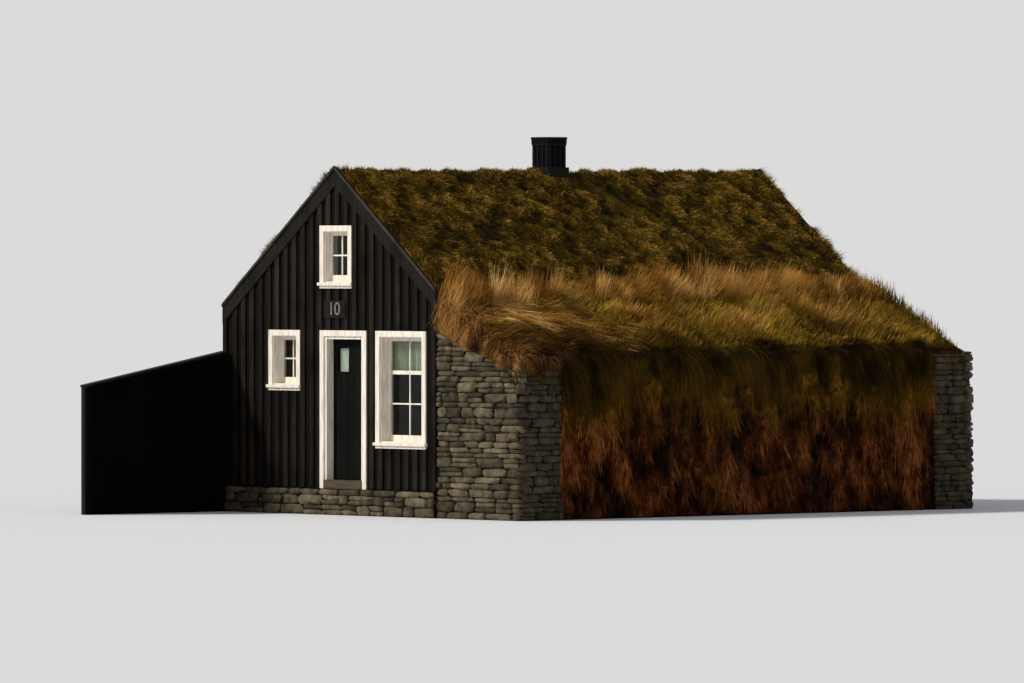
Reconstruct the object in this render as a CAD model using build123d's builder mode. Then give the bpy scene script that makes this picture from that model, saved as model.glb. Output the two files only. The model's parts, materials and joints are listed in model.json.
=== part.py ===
"""Turf house: the end house of a gabled row, with its grassed stone bank and timber screen.

Millimetres, +Z up. X runs along the gable front, to the right as one faces the door, and Y
runs back into the house. The origin lies under the gable's peak, on the plane of the front
boards, at the height of the lowest ground that the walls reach.
"""
import math
import os
from collections import namedtuple

from build123d import *

os.makedirs("parts", exist_ok=True)

# Plan of the house
party_x = -2640          # plain party wall's outer face, on the left
side_x = 2310            # right wall's outer face, where the bank begins
house_length = 8840      # from the front boards to the rear boards
gable_wall = 250         # thickness of the front and rear walls
long_wall = 200          # thickness of the right wall and the party wall

# Stone plinth and ground floor
plinth_height = 400
plinth_proud = 60        # ledge in front of the boards
plinth_ledge = 80        # ledge inside, on which the floor rests
floor_thickness = 100

# Roof
roof_pitch = 38.7        # degrees
valley_height = 3175     # turf surface over the party line
turf_thickness = 200     # square to the slope, as are the next two
deck_thickness = 25
rafter_depth = 125
rafter_width = 80
rafter_spacing = 1040
ridge_board_thickness = 40
ridge_board_depth = 220
kerb_thickness = 40      # board that holds the turf along the valley
barge_depth = 230
barge_thickness = 40
barge_rise = 15          # how far the barge boards stand over the turf

# Loft
loft_clearance = 22      # between the loft boards and the lowest rafter foot
loft_board = 30
joist_depth = 120
joist_width = 90
joist_spacing = 920
rail_width = 60
rail_depth = 100
hatch_length = 820
hatch_width = 760

# The turf's surface, uneven where it has grown and settled
turf_swell = 40          # how far it rises and sinks about its even slope
turf_bay = 1050          # about how far apart its rises are
verge_sink = 5           # how little it sinks beside the boards at the verges

# Chimney
chimney_y = 4370
chimney_side = 360
chimney_wall = 40
chimney_top = 490        # over the ridge
cap_thickness = 100
cap_overhang = 15
trimmer_width = 60
trimmer_depth = 100
kerb_rise = 20           # chimney kerb over the ridge turf
chimney_gap = 5          # round the stack and its kerb

# Openings in the gables
head_gap = 5             # joists' undersides over the heads of doors and windows
casing_width = 88
casing_proud = 26
sill_proud = 60
sill_height = 45
sill_overlap = 20
lining = 18              # boards that line a window's reveal
sash_bar = 50
sash_rail = 95
sash_thickness = 45
glass_thickness = 5

door_x = 175             # middle of the doorway
doorway_width = 895
small_window_width = 560
small_window_height = 750
small_window_from_party = 1165
small_window_recess = 150
tall_window_width = 970
tall_window_height = 1600
tall_window_from_corner = 325
tall_window_recess = 155
gable_window_x = 5
gable_window_width = 560
gable_window_height = 780
gable_window_sill = 670  # over the loft floor
gable_window_recess = 100
rear_window_recess = 60

# Door
threshold_rise = 30
threshold_proud = 30
frame_stop = 45          # frame's thickness outside the leaf
frame_rebate = 30        # and beside the leaf
stop_depth = 139
leaf_thickness = 45
leaf_gap = 6             # round the leaf, and to its stop
light_width = 250
light_height = 370
light_from_top = 135
light_from_middle = 175  # towards the hinges
hinge_from_top = 560     # upper strap, below the light
hinge_from_bottom = 260
axis_from_edge = 8       # hinge axis, from the leaf's edge
axis_from_face = 10      # and from its inner face
pin_radius = 4.5
eye_radius = 9
pin_clearance = 0.3
strap_height = 40
strap_thickness = 6
strap_length = 480
pintle_height = 14
knob_height = 1000       # over the leaf's bottom edge
knob_from_edge = 75
knob_radius = 26
knob_neck = 9
knob_reach = 72          # from the leaf's face to the knob's end
knob_bevel = 9
knob_length = 44
rose_radius = 30
rose_thickness = 6

# Bank
bank_width = 1870
bank_batter = 80         # how far its outer face leans in over its height
bank_beyond_rear = 640   # how far it runs past the rear boards
bank_front_depth = 860   # stone-built front end
bank_rear_depth = 820    # stone-built rear end
bank_step = 40           # roof turf over the bank's turf, where they meet
bank_slope = 27.3        # degrees, of the turf
stone_slope = 18.3       # degrees, of the stone's top
bank_turf_inner = 560    # turf's thickness beside the house
bank_slump = 900         # length over which the turf sinks towards its front end
slump_inner = 120        # how far it sinks there beside the house
slump_lip = 80           # turf left over the stone at the front's outer corner
rear_stone_rise = 170    # how much higher the stone stands at the rear end
side_turf = 400          # turf blocks along the bank's outer side

# Screen
screen_length = 2850
screen_height = 2450     # beside the gable
screen_fall = 505        # from there to its free end
screen_post = 80
screen_board = 40
screen_post_count = 4
screen_rail_height = 100
screen_rail_depth = 60   # behind the boards
lower_rail = 330         # its underside over the ground
upper_rail = 380         # its underside below the screen's top

# Worked out from the sizes above
slope = math.tan(math.radians(roof_pitch))
square = math.cos(math.radians(roof_pitch))
ridge_z = valley_height - party_x * slope
floor_z = plinth_height + floor_thickness
left_inner = party_x + long_wall
right_inner = side_x - long_wall
roof_depth = turf_thickness + deck_thickness + rafter_depth
CORNER = (Align.MIN, Align.MIN, Align.MIN)


def roof_z(x, depth=0.0):
    """Height at x of the surface that lies depth below the turf's, square to the slope."""
    return ridge_z - abs(x) * slope - depth / square


def across(y):
    """Upright plane across the house at y: its x is to the right, its y is up."""
    return Plane(origin=(0, y, 0), x_dir=(1, 0, 0), z_dir=(0, -1, 0))


def outline(points, y):
    """Closed face through the given (x, z) points on the plane across the house at y."""
    with BuildSketch(across(y)) as face:
        with BuildLine():
            Polyline(*points, close=True)
        make_face()
    return face.sketch


def prism(points, y, mode=Mode.ADD):
    """Carry an outline across the house back from the first y to the second."""
    extrude(outline(points, y[0]), amount=y[0] - y[1], mode=mode)


def block(x, y, z, mode=Mode.ADD):
    """Box between the two ends given for each direction."""
    with Locations((min(x), min(y), min(z))):
        Box(abs(x[1] - x[0]), abs(y[1] - y[0]), abs(z[1] - z[0]), align=CORNER, mode=mode)


loft_z = min(roof_z(left_inner, roof_depth), roof_z(right_inner, roof_depth)) - loft_clearance
joist_top = loft_z - loft_board
joist_bottom = joist_top - joist_depth
head_z = joist_bottom + head_gap

rear_y = house_length
inner_front = gable_wall
inner_rear = house_length - gable_wall
doorway = (door_x - doorway_width / 2, door_x + doorway_width / 2)

Window = namedtuple("Window", "x0 x1 z0 z1 recess")


def window(x0, z0, width, height, recess):
    """Opening in a gable wall from its lower left corner, with the depth of its glazing."""
    return Window(x0, x0 + width, z0, z0 + height, recess)


small_window = window(party_x + small_window_from_party, head_z - small_window_height,
                      small_window_width, small_window_height, small_window_recess)
tall_window = window(side_x - tall_window_from_corner - tall_window_width,
                     head_z - tall_window_height,
                     tall_window_width, tall_window_height, tall_window_recess)
gable_window = window(gable_window_x - gable_window_width / 2, loft_z + gable_window_sill,
                      gable_window_width, gable_window_height, gable_window_recess)
rear_left_window = small_window._replace(recess=rear_window_recess)
rear_right_window = window(side_x - tall_window_from_corner - small_window_width,
                           head_z - small_window_height, small_window_width,
                           small_window_height, rear_window_recess)
rear_gable_window = gable_window._replace(recess=rear_window_recess)
front_windows = (small_window, tall_window, gable_window)
rear_windows = (rear_left_window, rear_right_window, rear_gable_window)

# Plinth of dry stone under the boards, all round the house
plinth_z = (0, plinth_height)
front_plinth_y = (-plinth_proud, inner_front + plinth_ledge)
rear_plinth_y = (inner_rear - plinth_ledge, rear_y + plinth_proud)
with BuildPart() as front_plinth:
    block((party_x, side_x), front_plinth_y, plinth_z)
front_plinth.part.label = "front_plinth"
export_step(front_plinth.part, "parts/front_plinth.step")

with BuildPart() as rear_plinth:
    block((party_x, side_x), rear_plinth_y, plinth_z)
rear_plinth.part.label = "rear_plinth"
export_step(rear_plinth.part, "parts/rear_plinth.step")

with BuildPart() as side_plinths:
    for outer, inner in ((party_x, left_inner + plinth_ledge), (side_x, right_inner - plinth_ledge)):
        block((outer, inner), (front_plinth_y[1], rear_plinth_y[0]), plinth_z)
side_plinths.part.label = "side_plinths"
export_step(side_plinths.part, "parts/side_plinths.step")

# Ground floor, resting on the plinth's inner ledge
with BuildPart() as ground_floor:
    block((left_inner, right_inner), (inner_front, inner_rear), (plinth_height, floor_z))
ground_floor.part.label = "ground_floor"
export_step(ground_floor.part, "parts/ground_floor.step")

# Front wall, in a piece each side of the doorway and the gable over both
storey = (plinth_height, head_z)
front_y = (0, inner_front)
with BuildPart() as front_wall_left:
    block((party_x, doorway[0]), front_y, storey)
    block(small_window[0:2], front_y, small_window[2:4], mode=Mode.SUBTRACT)
front_wall_left.part.label = "front_wall_left"
export_step(front_wall_left.part, "parts/front_wall_left.step")

with BuildPart() as front_wall_right:
    block((doorway[1], side_x), front_y, storey)
    block(tall_window[0:2], front_y, tall_window[2:4], mode=Mode.SUBTRACT)
front_wall_right.part.label = "front_wall_right"
export_step(front_wall_right.part, "parts/front_wall_right.step")

gable_outline = [
    (party_x, head_z),
    (side_x, head_z),
    (side_x, roof_z(side_x, turf_thickness)),
    (0, roof_z(0, turf_thickness)),
    (party_x, roof_z(party_x, turf_thickness)),
]
with BuildPart() as front_gable_wall:
    prism(gable_outline, front_y)
    block(gable_window[0:2], front_y, gable_window[2:4], mode=Mode.SUBTRACT)
front_gable_wall.part.label = "front_gable_wall"
export_step(front_gable_wall.part, "parts/front_gable_wall.step")

# Rear wall and gable, plain repeats of the front without a door
back_y = (inner_rear, rear_y)
with BuildPart() as rear_wall:
    block((party_x, side_x), back_y, storey)
    for opening in (rear_left_window, rear_right_window):
        block(opening[0:2], back_y, opening[2:4], mode=Mode.SUBTRACT)
rear_wall.part.label = "rear_wall"
export_step(rear_wall.part, "parts/rear_wall.step")

with BuildPart() as rear_gable_wall:
    prism(gable_outline, back_y)
    block(rear_gable_window[0:2], back_y, rear_gable_window[2:4], mode=Mode.SUBTRACT)
rear_gable_wall.part.label = "rear_gable_wall"
export_step(rear_gable_wall.part, "parts/rear_gable_wall.step")


# Long walls, their tops bevelled to the pitch so that the rafters lie flat on them
def long_wall_outline(outer, inner):
    """Section of a long wall between its outer and inner faces."""
    return [
        (outer, plinth_height),
        (inner, plinth_height),
        (inner, roof_z(inner, roof_depth)),
        (outer, roof_z(outer, roof_depth)),
    ]


room_y = (inner_front, inner_rear)
with BuildPart() as side_wall:
    prism(long_wall_outline(side_x, right_inner), room_y)
side_wall.part.label = "side_wall"
export_step(side_wall.part, "parts/side_wall.step")

with BuildPart() as party_wall:
    prism(long_wall_outline(party_x, left_inner), room_y)
party_wall.part.label = "party_wall"
export_step(party_wall.part, "parts/party_wall.step")

# Loft: rails along the long walls, joists on the rails, boards on the joists
with BuildPart() as loft_rails:
    for wall, into in ((left_inner, rail_width), (right_inner, -rail_width)):
        block((wall, wall + into), room_y, (joist_bottom - rail_depth, joist_bottom))
loft_rails.part.label = "loft_rails"
export_step(loft_rails.part, "parts/loft_rails.step")

joist_count = int((inner_rear - inner_front - joist_width) / joist_spacing)
joist_first = (inner_front + inner_rear - (joist_count - 1) * joist_spacing) / 2
joist_ys = [joist_first + i * joist_spacing for i in range(joist_count)]
with BuildPart() as loft_joists:
    for y in joist_ys:
        block((left_inner, right_inner), (y - joist_width / 2, y + joist_width / 2),
              (joist_bottom, joist_top))
loft_joists.part.label = "loft_joists"
export_step(loft_joists.part, "parts/loft_joists.step")

# The hatch lies between two joists, beside the party wall
hatch_y = joist_ys[-2] + joist_width / 2
hatch_room = joist_spacing - joist_width
with BuildPart() as loft_floor:
    block((left_inner, right_inner), room_y, (joist_top, loft_z))
    block((left_inner + rail_width, left_inner + rail_width + hatch_width),
          (hatch_y, hatch_y + min(hatch_length, hatch_room)),
          (joist_top, loft_z), mode=Mode.SUBTRACT)
loft_floor.part.label = "loft_floor"
export_step(loft_floor.part, "parts/loft_floor.step")

# Rafters in couples, spaced from the chimney so that it comes up between two of them
rafter_ys = []
rafter_reach = int(house_length / rafter_spacing) + 1
for i in range(-rafter_reach, rafter_reach):
    y = chimney_y + (i + 0.5) * rafter_spacing
    if inner_front + rafter_width < y < inner_rear - rafter_width:
        rafter_ys.append(y)
well = [y for y in rafter_ys if abs(y - chimney_y) < rafter_spacing]
well_y = (well[0] + rafter_width / 2, well[-1] - rafter_width / 2)
left_foot = party_x + kerb_thickness
half_ridge = ridge_board_thickness / 2


def slope_outline(top, foot, upper, lower):
    """Section of a layer on one slope, from x = top to x = foot, between two depths."""
    return [
        (top, roof_z(top, upper)),
        (foot, roof_z(foot, upper)),
        (foot, roof_z(foot, lower)),
        (top, roof_z(top, lower)),
    ]


rafter_top = turf_thickness + deck_thickness
with BuildPart() as rafters:
    for y in rafter_ys:
        for top, foot in ((-half_ridge, left_foot), (half_ridge, side_x)):
            prism(slope_outline(top, foot, rafter_top, roof_depth),
                  (y - rafter_width / 2, y + rafter_width / 2))
rafters.part.label = "rafters"
export_step(rafters.part, "parts/rafters.step")

ridge_board_top = roof_z(half_ridge, rafter_top)
with BuildPart() as ridge_board:
    for y in ((inner_front, well_y[0]), (well_y[1], inner_rear)):
        block((-half_ridge, half_ridge), y, (ridge_board_top - ridge_board_depth, ridge_board_top))
ridge_board.part.label = "ridge_board"
export_step(ridge_board.part, "parts/ridge_board.step")

# Roof boards and turf, both cut round the chimney; the turf also covers the gable walls
stack_half = chimney_side / 2
kerb_half = stack_half + kerb_thickness
well_top = (0, ridge_z + chimney_top)


def around_chimney(half):
    """X and Y ranges of the square hole that leaves the chimney's gap beyond half a side."""
    reach = half + chimney_gap
    return (-reach, reach), (chimney_y - reach, chimney_y + reach)


with BuildPart() as roof_deck:
    for top, foot in ((-chimney_gap, left_foot), (chimney_gap, side_x)):
        prism(slope_outline(top, foot, turf_thickness, rafter_top), room_y)
    block(*around_chimney(stack_half), well_top, mode=Mode.SUBTRACT)
roof_deck.part.label = "roof_deck"
export_step(roof_deck.part, "parts/roof_deck.step")



def swell(i, j):
    """Rise or fall of the turf at the i-th place across it and the j-th along it."""
    return turf_swell * math.sin(1.8 * i + 2.3 * j)


def stations(start, end):
    """Places along Y from one end to the other, about a bay apart."""
    bays = max(round((end - start) / turf_bay), 1)
    return [start + (end - start) * j / bays for j in range(bays + 1)]


def turf_section(foot, j, last):
    """Section of one slope's turf at station j: even at the verges and along its foot."""
    side = 1 if foot > 0 else -1
    rises = [(swell(0, j) - turf_swell) / 2, swell(side, j), swell(2 * side, j), 0]
    if j in (0, last):
        rises = [0, -verge_sink, -verge_sink, 0]
    upper = [(foot * i / 3, roof_z(foot * i / 3) + rises[i]) for i in range(4)]
    return upper + [(foot, roof_z(foot, turf_thickness)), (0, roof_z(0, turf_thickness))]


turf_ys = stations(0, rear_y)
with BuildPart() as roof_turf_left:
    loft([outline(turf_section(left_foot, j, len(turf_ys) - 1), y) for j, y in enumerate(turf_ys)],
         ruled=True)
    block(*around_chimney(kerb_half), well_top, mode=Mode.SUBTRACT)
roof_turf_left.part.label = "roof_turf_left"
export_step(roof_turf_left.part, "parts/roof_turf_left.step")

with BuildPart() as roof_turf_right:
    loft([outline(turf_section(side_x, j, len(turf_ys) - 1), y) for j, y in enumerate(turf_ys)],
         ruled=True)
    block(*around_chimney(kerb_half), well_top, mode=Mode.SUBTRACT)
roof_turf_right.part.label = "roof_turf_right"
export_step(roof_turf_right.part, "parts/roof_turf_right.step")

# Kerb along the valley, standing on the party wall and the gables
with BuildPart() as valley_kerb:
    prism(slope_outline(left_foot, party_x, 0, roof_depth), room_y)
    for y in (front_y, back_y):
        prism(slope_outline(left_foot, party_x, 0, turf_thickness), y)
valley_kerb.part.label = "valley_kerb"
export_step(valley_kerb.part, "parts/valley_kerb.step")

# Barge boards, an inverted V on each gable that hides the edge of the turf
barge_top = -barge_rise * square
barge_outline = [
    (party_x, roof_z(party_x, barge_top)),
    (0, roof_z(0, barge_top)),
    (side_x, roof_z(side_x, barge_top)),
    (side_x, roof_z(side_x, barge_top + barge_depth)),
    (0, roof_z(0, barge_top + barge_depth)),
    (party_x, roof_z(party_x, barge_top + barge_depth)),
]
with BuildPart() as barge_boards:
    for y in ((-barge_thickness, 0), (rear_y, rear_y + barge_thickness)):
        prism(barge_outline, y)
barge_boards.part.label = "barge_boards"
export_step(barge_boards.part, "parts/barge_boards.step")

# Chimney: trimmers between two rafter couples carry a square boarded stack
trimmer_inner = stack_half - trimmer_width
trimmer_top = roof_z(trimmer_inner, roof_depth) + trimmer_depth
with BuildPart() as chimney_trimmers:
    for side in (-1, 1):
        block((side * trimmer_inner, side * stack_half), well_y,
              (trimmer_top - trimmer_depth, trimmer_top))
chimney_trimmers.part.label = "chimney_trimmers"
export_step(chimney_trimmers.part, "parts/chimney_trimmers.step")

cap_z = ridge_z + chimney_top
stack_z = (trimmer_top, cap_z - cap_thickness)
flue_half = stack_half - chimney_wall
flue = ((-flue_half, flue_half), (chimney_y - flue_half, chimney_y + flue_half))


def chimney_ring(half, hollow, z):
    """Square tube round the chimney's middle line, between half an outer and inner side."""
    block((-half, half), (chimney_y - half, chimney_y + half), z)
    block((-hollow, hollow), (chimney_y - hollow, chimney_y + hollow), z, mode=Mode.SUBTRACT)


with BuildPart() as chimney_stack:
    chimney_ring(stack_half, flue_half, stack_z)
chimney_stack.part.label = "chimney_stack"
export_step(chimney_stack.part, "parts/chimney_stack.step")

with BuildPart() as chimney_cap:
    chimney_ring(stack_half + cap_overhang, flue_half, (stack_z[1], cap_z))
chimney_cap.part.label = "chimney_cap"
export_step(chimney_cap.part, "parts/chimney_cap.step")

deck_top_outline = [
    (-kerb_half, roof_z(kerb_half, turf_thickness)),
    (0, roof_z(0, turf_thickness)),
    (kerb_half, roof_z(kerb_half, turf_thickness)),
    (kerb_half, 0),
    (-kerb_half, 0),
]
with BuildPart() as chimney_kerb:
    chimney_ring(kerb_half, stack_half, (roof_z(kerb_half, turf_thickness), ridge_z + kerb_rise))
    prism(deck_top_outline, (chimney_y - kerb_half, chimney_y + kerb_half), mode=Mode.SUBTRACT)
chimney_kerb.part.label = "chimney_kerb"
export_step(chimney_kerb.part, "parts/chimney_kerb.step")

# Doorway: threshold on the plinth, rebated frame on the threshold, casing on the boards
threshold_z = floor_z + threshold_rise
with BuildPart() as door_threshold:
    block(doorway, (-threshold_proud, inner_front), (plinth_height, threshold_z))
door_threshold.part.label = "door_threshold"
export_step(door_threshold.part, "parts/door_threshold.step")

with BuildPart() as door_frame:
    block(doorway, front_y, (threshold_z, head_z))
    for board, y in ((frame_stop, (0, stop_depth)), (frame_rebate, (stop_depth, inner_front))):
        block((doorway[0] + board, doorway[1] - board), y, (threshold_z, head_z - board),
              mode=Mode.SUBTRACT)
door_frame.part.label = "door_frame"
export_step(door_frame.part, "parts/door_frame.step")

with BuildPart() as door_casing:
    block((doorway[0] - casing_width, doorway[1] + casing_width), (-casing_proud, 0),
          (plinth_height, head_z + casing_width))
    block(doorway, (-casing_proud, 0), (plinth_height, head_z), mode=Mode.SUBTRACT)
door_casing.part.label = "door_casing"
export_step(door_casing.part, "parts/door_casing.step")

# Door leaf, hung at its left edge and opening into the room
leaf_x = (doorway[0] + frame_rebate + leaf_gap, doorway[1] - frame_rebate - leaf_gap)
leaf_y = (stop_depth + leaf_gap, stop_depth + leaf_gap + leaf_thickness)
leaf_z = (threshold_z + leaf_gap, head_z - frame_rebate - leaf_gap)
light_middle = door_x - light_from_middle
light_x = (light_middle - light_width / 2, light_middle + light_width / 2)
light_z = (leaf_z[1] - light_from_top - light_height, leaf_z[1] - light_from_top)
glass_y = (leaf_y[0] + leaf_thickness / 2, leaf_y[0] + leaf_thickness / 2 + glass_thickness)
with BuildPart() as door_leaf:
    block(leaf_x, leaf_y, leaf_z)
    block(light_x, leaf_y, light_z, mode=Mode.SUBTRACT)
door_leaf.part.label = "door_leaf"
export_step(door_leaf.part, "parts/door_leaf.step")

with BuildPart() as door_glass:
    block(light_x, glass_y, light_z)
door_glass.part.label = "door_glass"
export_step(door_glass.part, "parts/door_glass.step")

# Strap hinges: each strap's eye turns on a pin that stands on the frame
axis_x = leaf_x[0] + axis_from_edge
axis_y = leaf_y[1] + axis_from_face
hinge_zs = (leaf_z[0] + hinge_from_bottom, leaf_z[1] - hinge_from_top)
with BuildPart() as door_straps:
    for z in hinge_zs:
        bottom = z - strap_height / 2
        with Locations((axis_x, axis_y, z)):
            Cylinder(eye_radius, strap_height)
        block((axis_x, axis_x + strap_length), (leaf_y[1], leaf_y[1] + strap_thickness),
              (bottom, bottom + strap_height))
        with Locations((axis_x, axis_y, z)):
            Cylinder(pin_radius + pin_clearance, strap_height, mode=Mode.SUBTRACT)
door_straps.part.label = "door_straps"
export_step(door_straps.part, "parts/door_straps.step")

frame_face = doorway[0] + frame_rebate
with BuildPart() as door_pintles:
    for z in hinge_zs:
        seat = z - strap_height / 2 - pin_clearance
        block((frame_face, axis_x), (axis_y - pin_radius, axis_y + pin_radius),
              (seat - pintle_height, seat))
        with Locations((axis_x, axis_y, seat - pintle_height)):
            Cylinder(pin_radius, pintle_height + strap_height,
                     align=(Align.CENTER, Align.CENTER, Align.MIN))
door_pintles.part.label = "door_pintles"
export_step(door_pintles.part, "parts/door_pintles.step")

# A round knob on each face of the leaf
knob_x = leaf_x[1] - knob_from_edge
knob_z = leaf_z[0] + knob_height
knob_start = knob_reach - knob_length
knob_rim = knob_radius - knob_bevel
with BuildPart() as door_handle:
    for face, out in ((leaf_y[0], -1), (leaf_y[1], 1)):
        with BuildSketch(Plane(origin=(knob_x, face, knob_z), x_dir=(1, 0, 0), z_dir=(0, 0, 1))):
            with BuildLine():
                Polyline(
                    (0, 0),
                    (rose_radius, 0),
                    (rose_radius, out * rose_thickness),
                    (knob_neck, out * rose_thickness),
                    (knob_neck, out * knob_start),
                    (knob_rim, out * knob_start),
                    (knob_radius, out * (knob_start + knob_bevel)),
                    (knob_radius, out * (knob_reach - knob_bevel)),
                    (knob_rim, out * knob_reach),
                    (0, out * knob_reach),
                    close=True,
                )
            make_face()
        revolve(axis=Axis((knob_x, face, knob_z), (0, 1, 0)))
door_handle.part.label = "door_handle"
export_step(door_handle.part, "parts/door_handle.step")


# Windows: casing and sill outside, lining and sash in the reveal, one sheet of glass each
def from_face(face, near, far):
    """Y range between two depths measured into a gable wall from its outer face."""
    inward = 1 if face == 0 else -1
    return face + inward * near, face + inward * far


def casing(opening, face):
    """Boards round an opening on the outer face, over a sill that stands out further."""
    outer_x = (opening.x0 - casing_width, opening.x1 + casing_width)
    board_y = from_face(face, -casing_proud, 0)
    block(outer_x, board_y, (opening.z0 - casing_width, opening.z1 + casing_width))
    block(opening[0:2], board_y, opening[2:4], mode=Mode.SUBTRACT)
    block((outer_x[0] - sill_overlap, outer_x[1] + sill_overlap), from_face(face, -sill_proud, 0),
          (opening.z0 - sill_height, opening.z0))


def frame(opening, face):
    """Lining through the wall with a sash in it, as deep in the reveal as the recess says."""
    depth = from_face(face, 0, gable_wall)
    sash_y = from_face(face, opening.recess, opening.recess + sash_thickness)
    inner_x = (opening.x0 + lining, opening.x1 - lining)
    inner_z = (opening.z0 + lining, opening.z1 - lining)
    block(opening[0:2], depth, opening[2:4])
    block(inner_x, depth, inner_z, mode=Mode.SUBTRACT)
    block(inner_x, sash_y, inner_z)
    block((inner_x[0] + sash_bar, inner_x[1] - sash_bar), sash_y,
          (inner_z[0] + sash_rail, inner_z[1] - sash_bar), mode=Mode.SUBTRACT)


def pane(opening, face):
    """Glass that fills the sash, in the middle of its thickness."""
    middle = opening.recess + (sash_thickness - glass_thickness) / 2
    block((opening.x0 + lining + sash_bar, opening.x1 - lining - sash_bar),
          from_face(face, middle, middle + glass_thickness),
          (opening.z0 + lining + sash_rail, opening.z1 - lining - sash_bar))


for gable, openings, face in (("front", front_windows, 0), ("rear", rear_windows, rear_y)):
    for pieces, make in (("casings", casing), ("frames", frame), ("glass", pane)):
        name = f"{gable}_window_{pieces}"
        with BuildPart() as window_pieces:
            for opening in openings:
                make(opening, face)
        window_pieces.part.label = name
        export_step(window_pieces.part, f"parts/{name}.step")

# Bank of stone and turf against the right wall, its top falling away from the roof
bank_tan = math.tan(math.radians(bank_slope))
stone_tan = math.tan(math.radians(stone_slope))
bank_inner_z = roof_z(side_x) - bank_step
stone_inner_z = bank_inner_z - bank_turf_inner
lean = bank_batter / (bank_inner_z - bank_width * bank_tan)


def bank_meets(inner_z, fall, back=0.0):
    """Where the face that lies back from the bank's leaning outer face meets a falling top."""
    base = bank_width - back
    run = (base - lean * inner_z) / (1 - lean * fall)
    return side_x + run, inner_z - fall * run


stone_outline = [
    (side_x, 0),
    (side_x + bank_width, 0),
    bank_meets(stone_inner_z, stone_tan),
    (side_x, stone_inner_z),
]
bank_length = house_length + bank_beyond_rear
bank_rear = (bank_length - bank_rear_depth, bank_length)
bank_middle = (bank_front_depth, bank_rear[0])
with BuildPart() as bank_front_stone:
    prism(stone_outline, (0, bank_front_depth))
bank_front_stone.part.label = "bank_front_stone"
export_step(bank_front_stone.part, "parts/bank_front_stone.step")

rear_inner_z = stone_inner_z + rear_stone_rise
rear_stone_outline = stone_outline[0:2] + [
    bank_meets(rear_inner_z, stone_tan),
    (side_x, rear_inner_z),
]
with BuildPart() as bank_rear_stone:
    prism(rear_stone_outline, bank_rear)
bank_rear_stone.part.label = "bank_rear_stone"
export_step(bank_rear_stone.part, "parts/bank_rear_stone.step")

core_top = bank_meets(stone_inner_z, stone_tan, side_turf)
core_foot = (side_x + bank_width - side_turf, 0)
with BuildPart() as bank_core:
    prism([(side_x, 0), core_foot, core_top, (side_x, stone_inner_z)], bank_middle)
bank_core.part.label = "bank_core"
export_step(bank_core.part, "parts/bank_core.step")

with BuildPart() as bank_side_turf:
    prism([core_foot, stone_outline[1], stone_outline[2], core_top], bank_middle)
bank_side_turf.part.label = "bank_side_turf"
export_step(bank_side_turf.part, "parts/bank_side_turf.step")

# The turf on top sinks towards the front end and thins over the higher stone at the rear
turf_top = [bank_meets(bank_inner_z, bank_tan), (side_x, bank_inner_z)]
stone_corner = stone_outline[2]
lip = slump_lip / (turf_top[0][1] - stone_corner[1])
slumped_top = [
    (stone_corner[0] + lip * (turf_top[0][0] - stone_corner[0]), stone_corner[1] + slump_lip),
    (side_x, bank_inner_z - slump_inner),
]


def bank_section(foot, top, j):
    """Section of the bank's turf at station j, over its foot, its top swelling in the middle."""
    middle = side_x + bank_width / 2
    way = (middle - side_x) / (top[0][0] - side_x)
    even = top[1][1] + way * (top[0][1] - top[1][1])
    return foot + [top[0], (middle, even + swell(1, j)), top[1]]


foot = [stone_outline[3], stone_corner]
bank_ys = stations(bank_slump, bank_rear[0])
sections = [outline(bank_section(foot, slumped_top, 0), 0)]
sections += [outline(bank_section(foot, turf_top, j + 1), y) for j, y in enumerate(bank_ys)]
rear_foot = [rear_stone_outline[3], rear_stone_outline[2]]
with BuildPart() as bank_top_turf:
    loft(sections, ruled=True)
    prism(bank_section(rear_foot, turf_top, len(bank_ys)), bank_rear)
bank_top_turf.part.label = "bank_top_turf"
export_step(bank_top_turf.part, "parts/bank_top_turf.step")

# Screen on the party line in front of the gable: posts with rails between them, and boards
# on their right side
screen_end = -screen_length
post_pitch = (screen_length - plinth_proud - screen_post) / (screen_post_count - 1)
screen_drop = screen_fall / screen_length


def screen_outline(y0, y1):
    """Upright outline along Y between two places, under the screen's falling top."""
    return [
        (y0, 0),
        (y1, 0),
        (y1, screen_height + screen_drop * y1),
        (y0, screen_height + screen_drop * y0),
    ]


def upright(points, x, thickness):
    """Carry an outline drawn along Y to the right, from x through a thickness."""
    with BuildSketch(Plane(origin=(x, 0, 0), x_dir=(0, 1, 0), z_dir=(1, 0, 0))) as side:
        with BuildLine():
            Polyline(*points, close=True)
        make_face()
    extrude(side.sketch, amount=thickness)


with BuildPart() as screen_posts:
    for i in range(screen_post_count):
        y0 = screen_end + i * post_pitch
        upright(screen_outline(y0, y0 + screen_post), party_x, screen_post)
screen_posts.part.label = "screen_posts"
export_step(screen_posts.part, "parts/screen_posts.step")

rail_x = party_x + screen_post - screen_rail_depth
with BuildPart() as screen_rails:
    for i in range(screen_post_count - 1):
        y0 = screen_end + i * post_pitch + screen_post
        y1 = screen_end + (i + 1) * post_pitch
        block((rail_x, party_x + screen_post), (y0, y1), (lower_rail, lower_rail + screen_rail_height))
        under = [(y, screen_height + screen_drop * y - upper_rail) for y in (y0, y1)]
        over = [(y, z + screen_rail_height) for y, z in reversed(under)]
        upright(under + over, rail_x, screen_rail_depth)
screen_rails.part.label = "screen_rails"
export_step(screen_rails.part, "parts/screen_rails.step")

with BuildPart() as screen_boards:
    upright(screen_outline(screen_end, -plinth_proud), party_x + screen_post, screen_board)
screen_boards.part.label = "screen_boards"
export_step(screen_boards.part, "parts/screen_boards.step")
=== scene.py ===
# %% [markdown]
# # A turf house, dressed
#
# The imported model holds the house's construction: walls, roof, bank, door and windows at
# their real size. This notebook dresses it. Each step says what a piece is on the real
# house, how it could be made, and why one way was chosen. All sizes are in metres.

# %% Load the frame
import json
import math

import bpy
import numpy as np
from mathutils import Matrix, Vector

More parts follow.
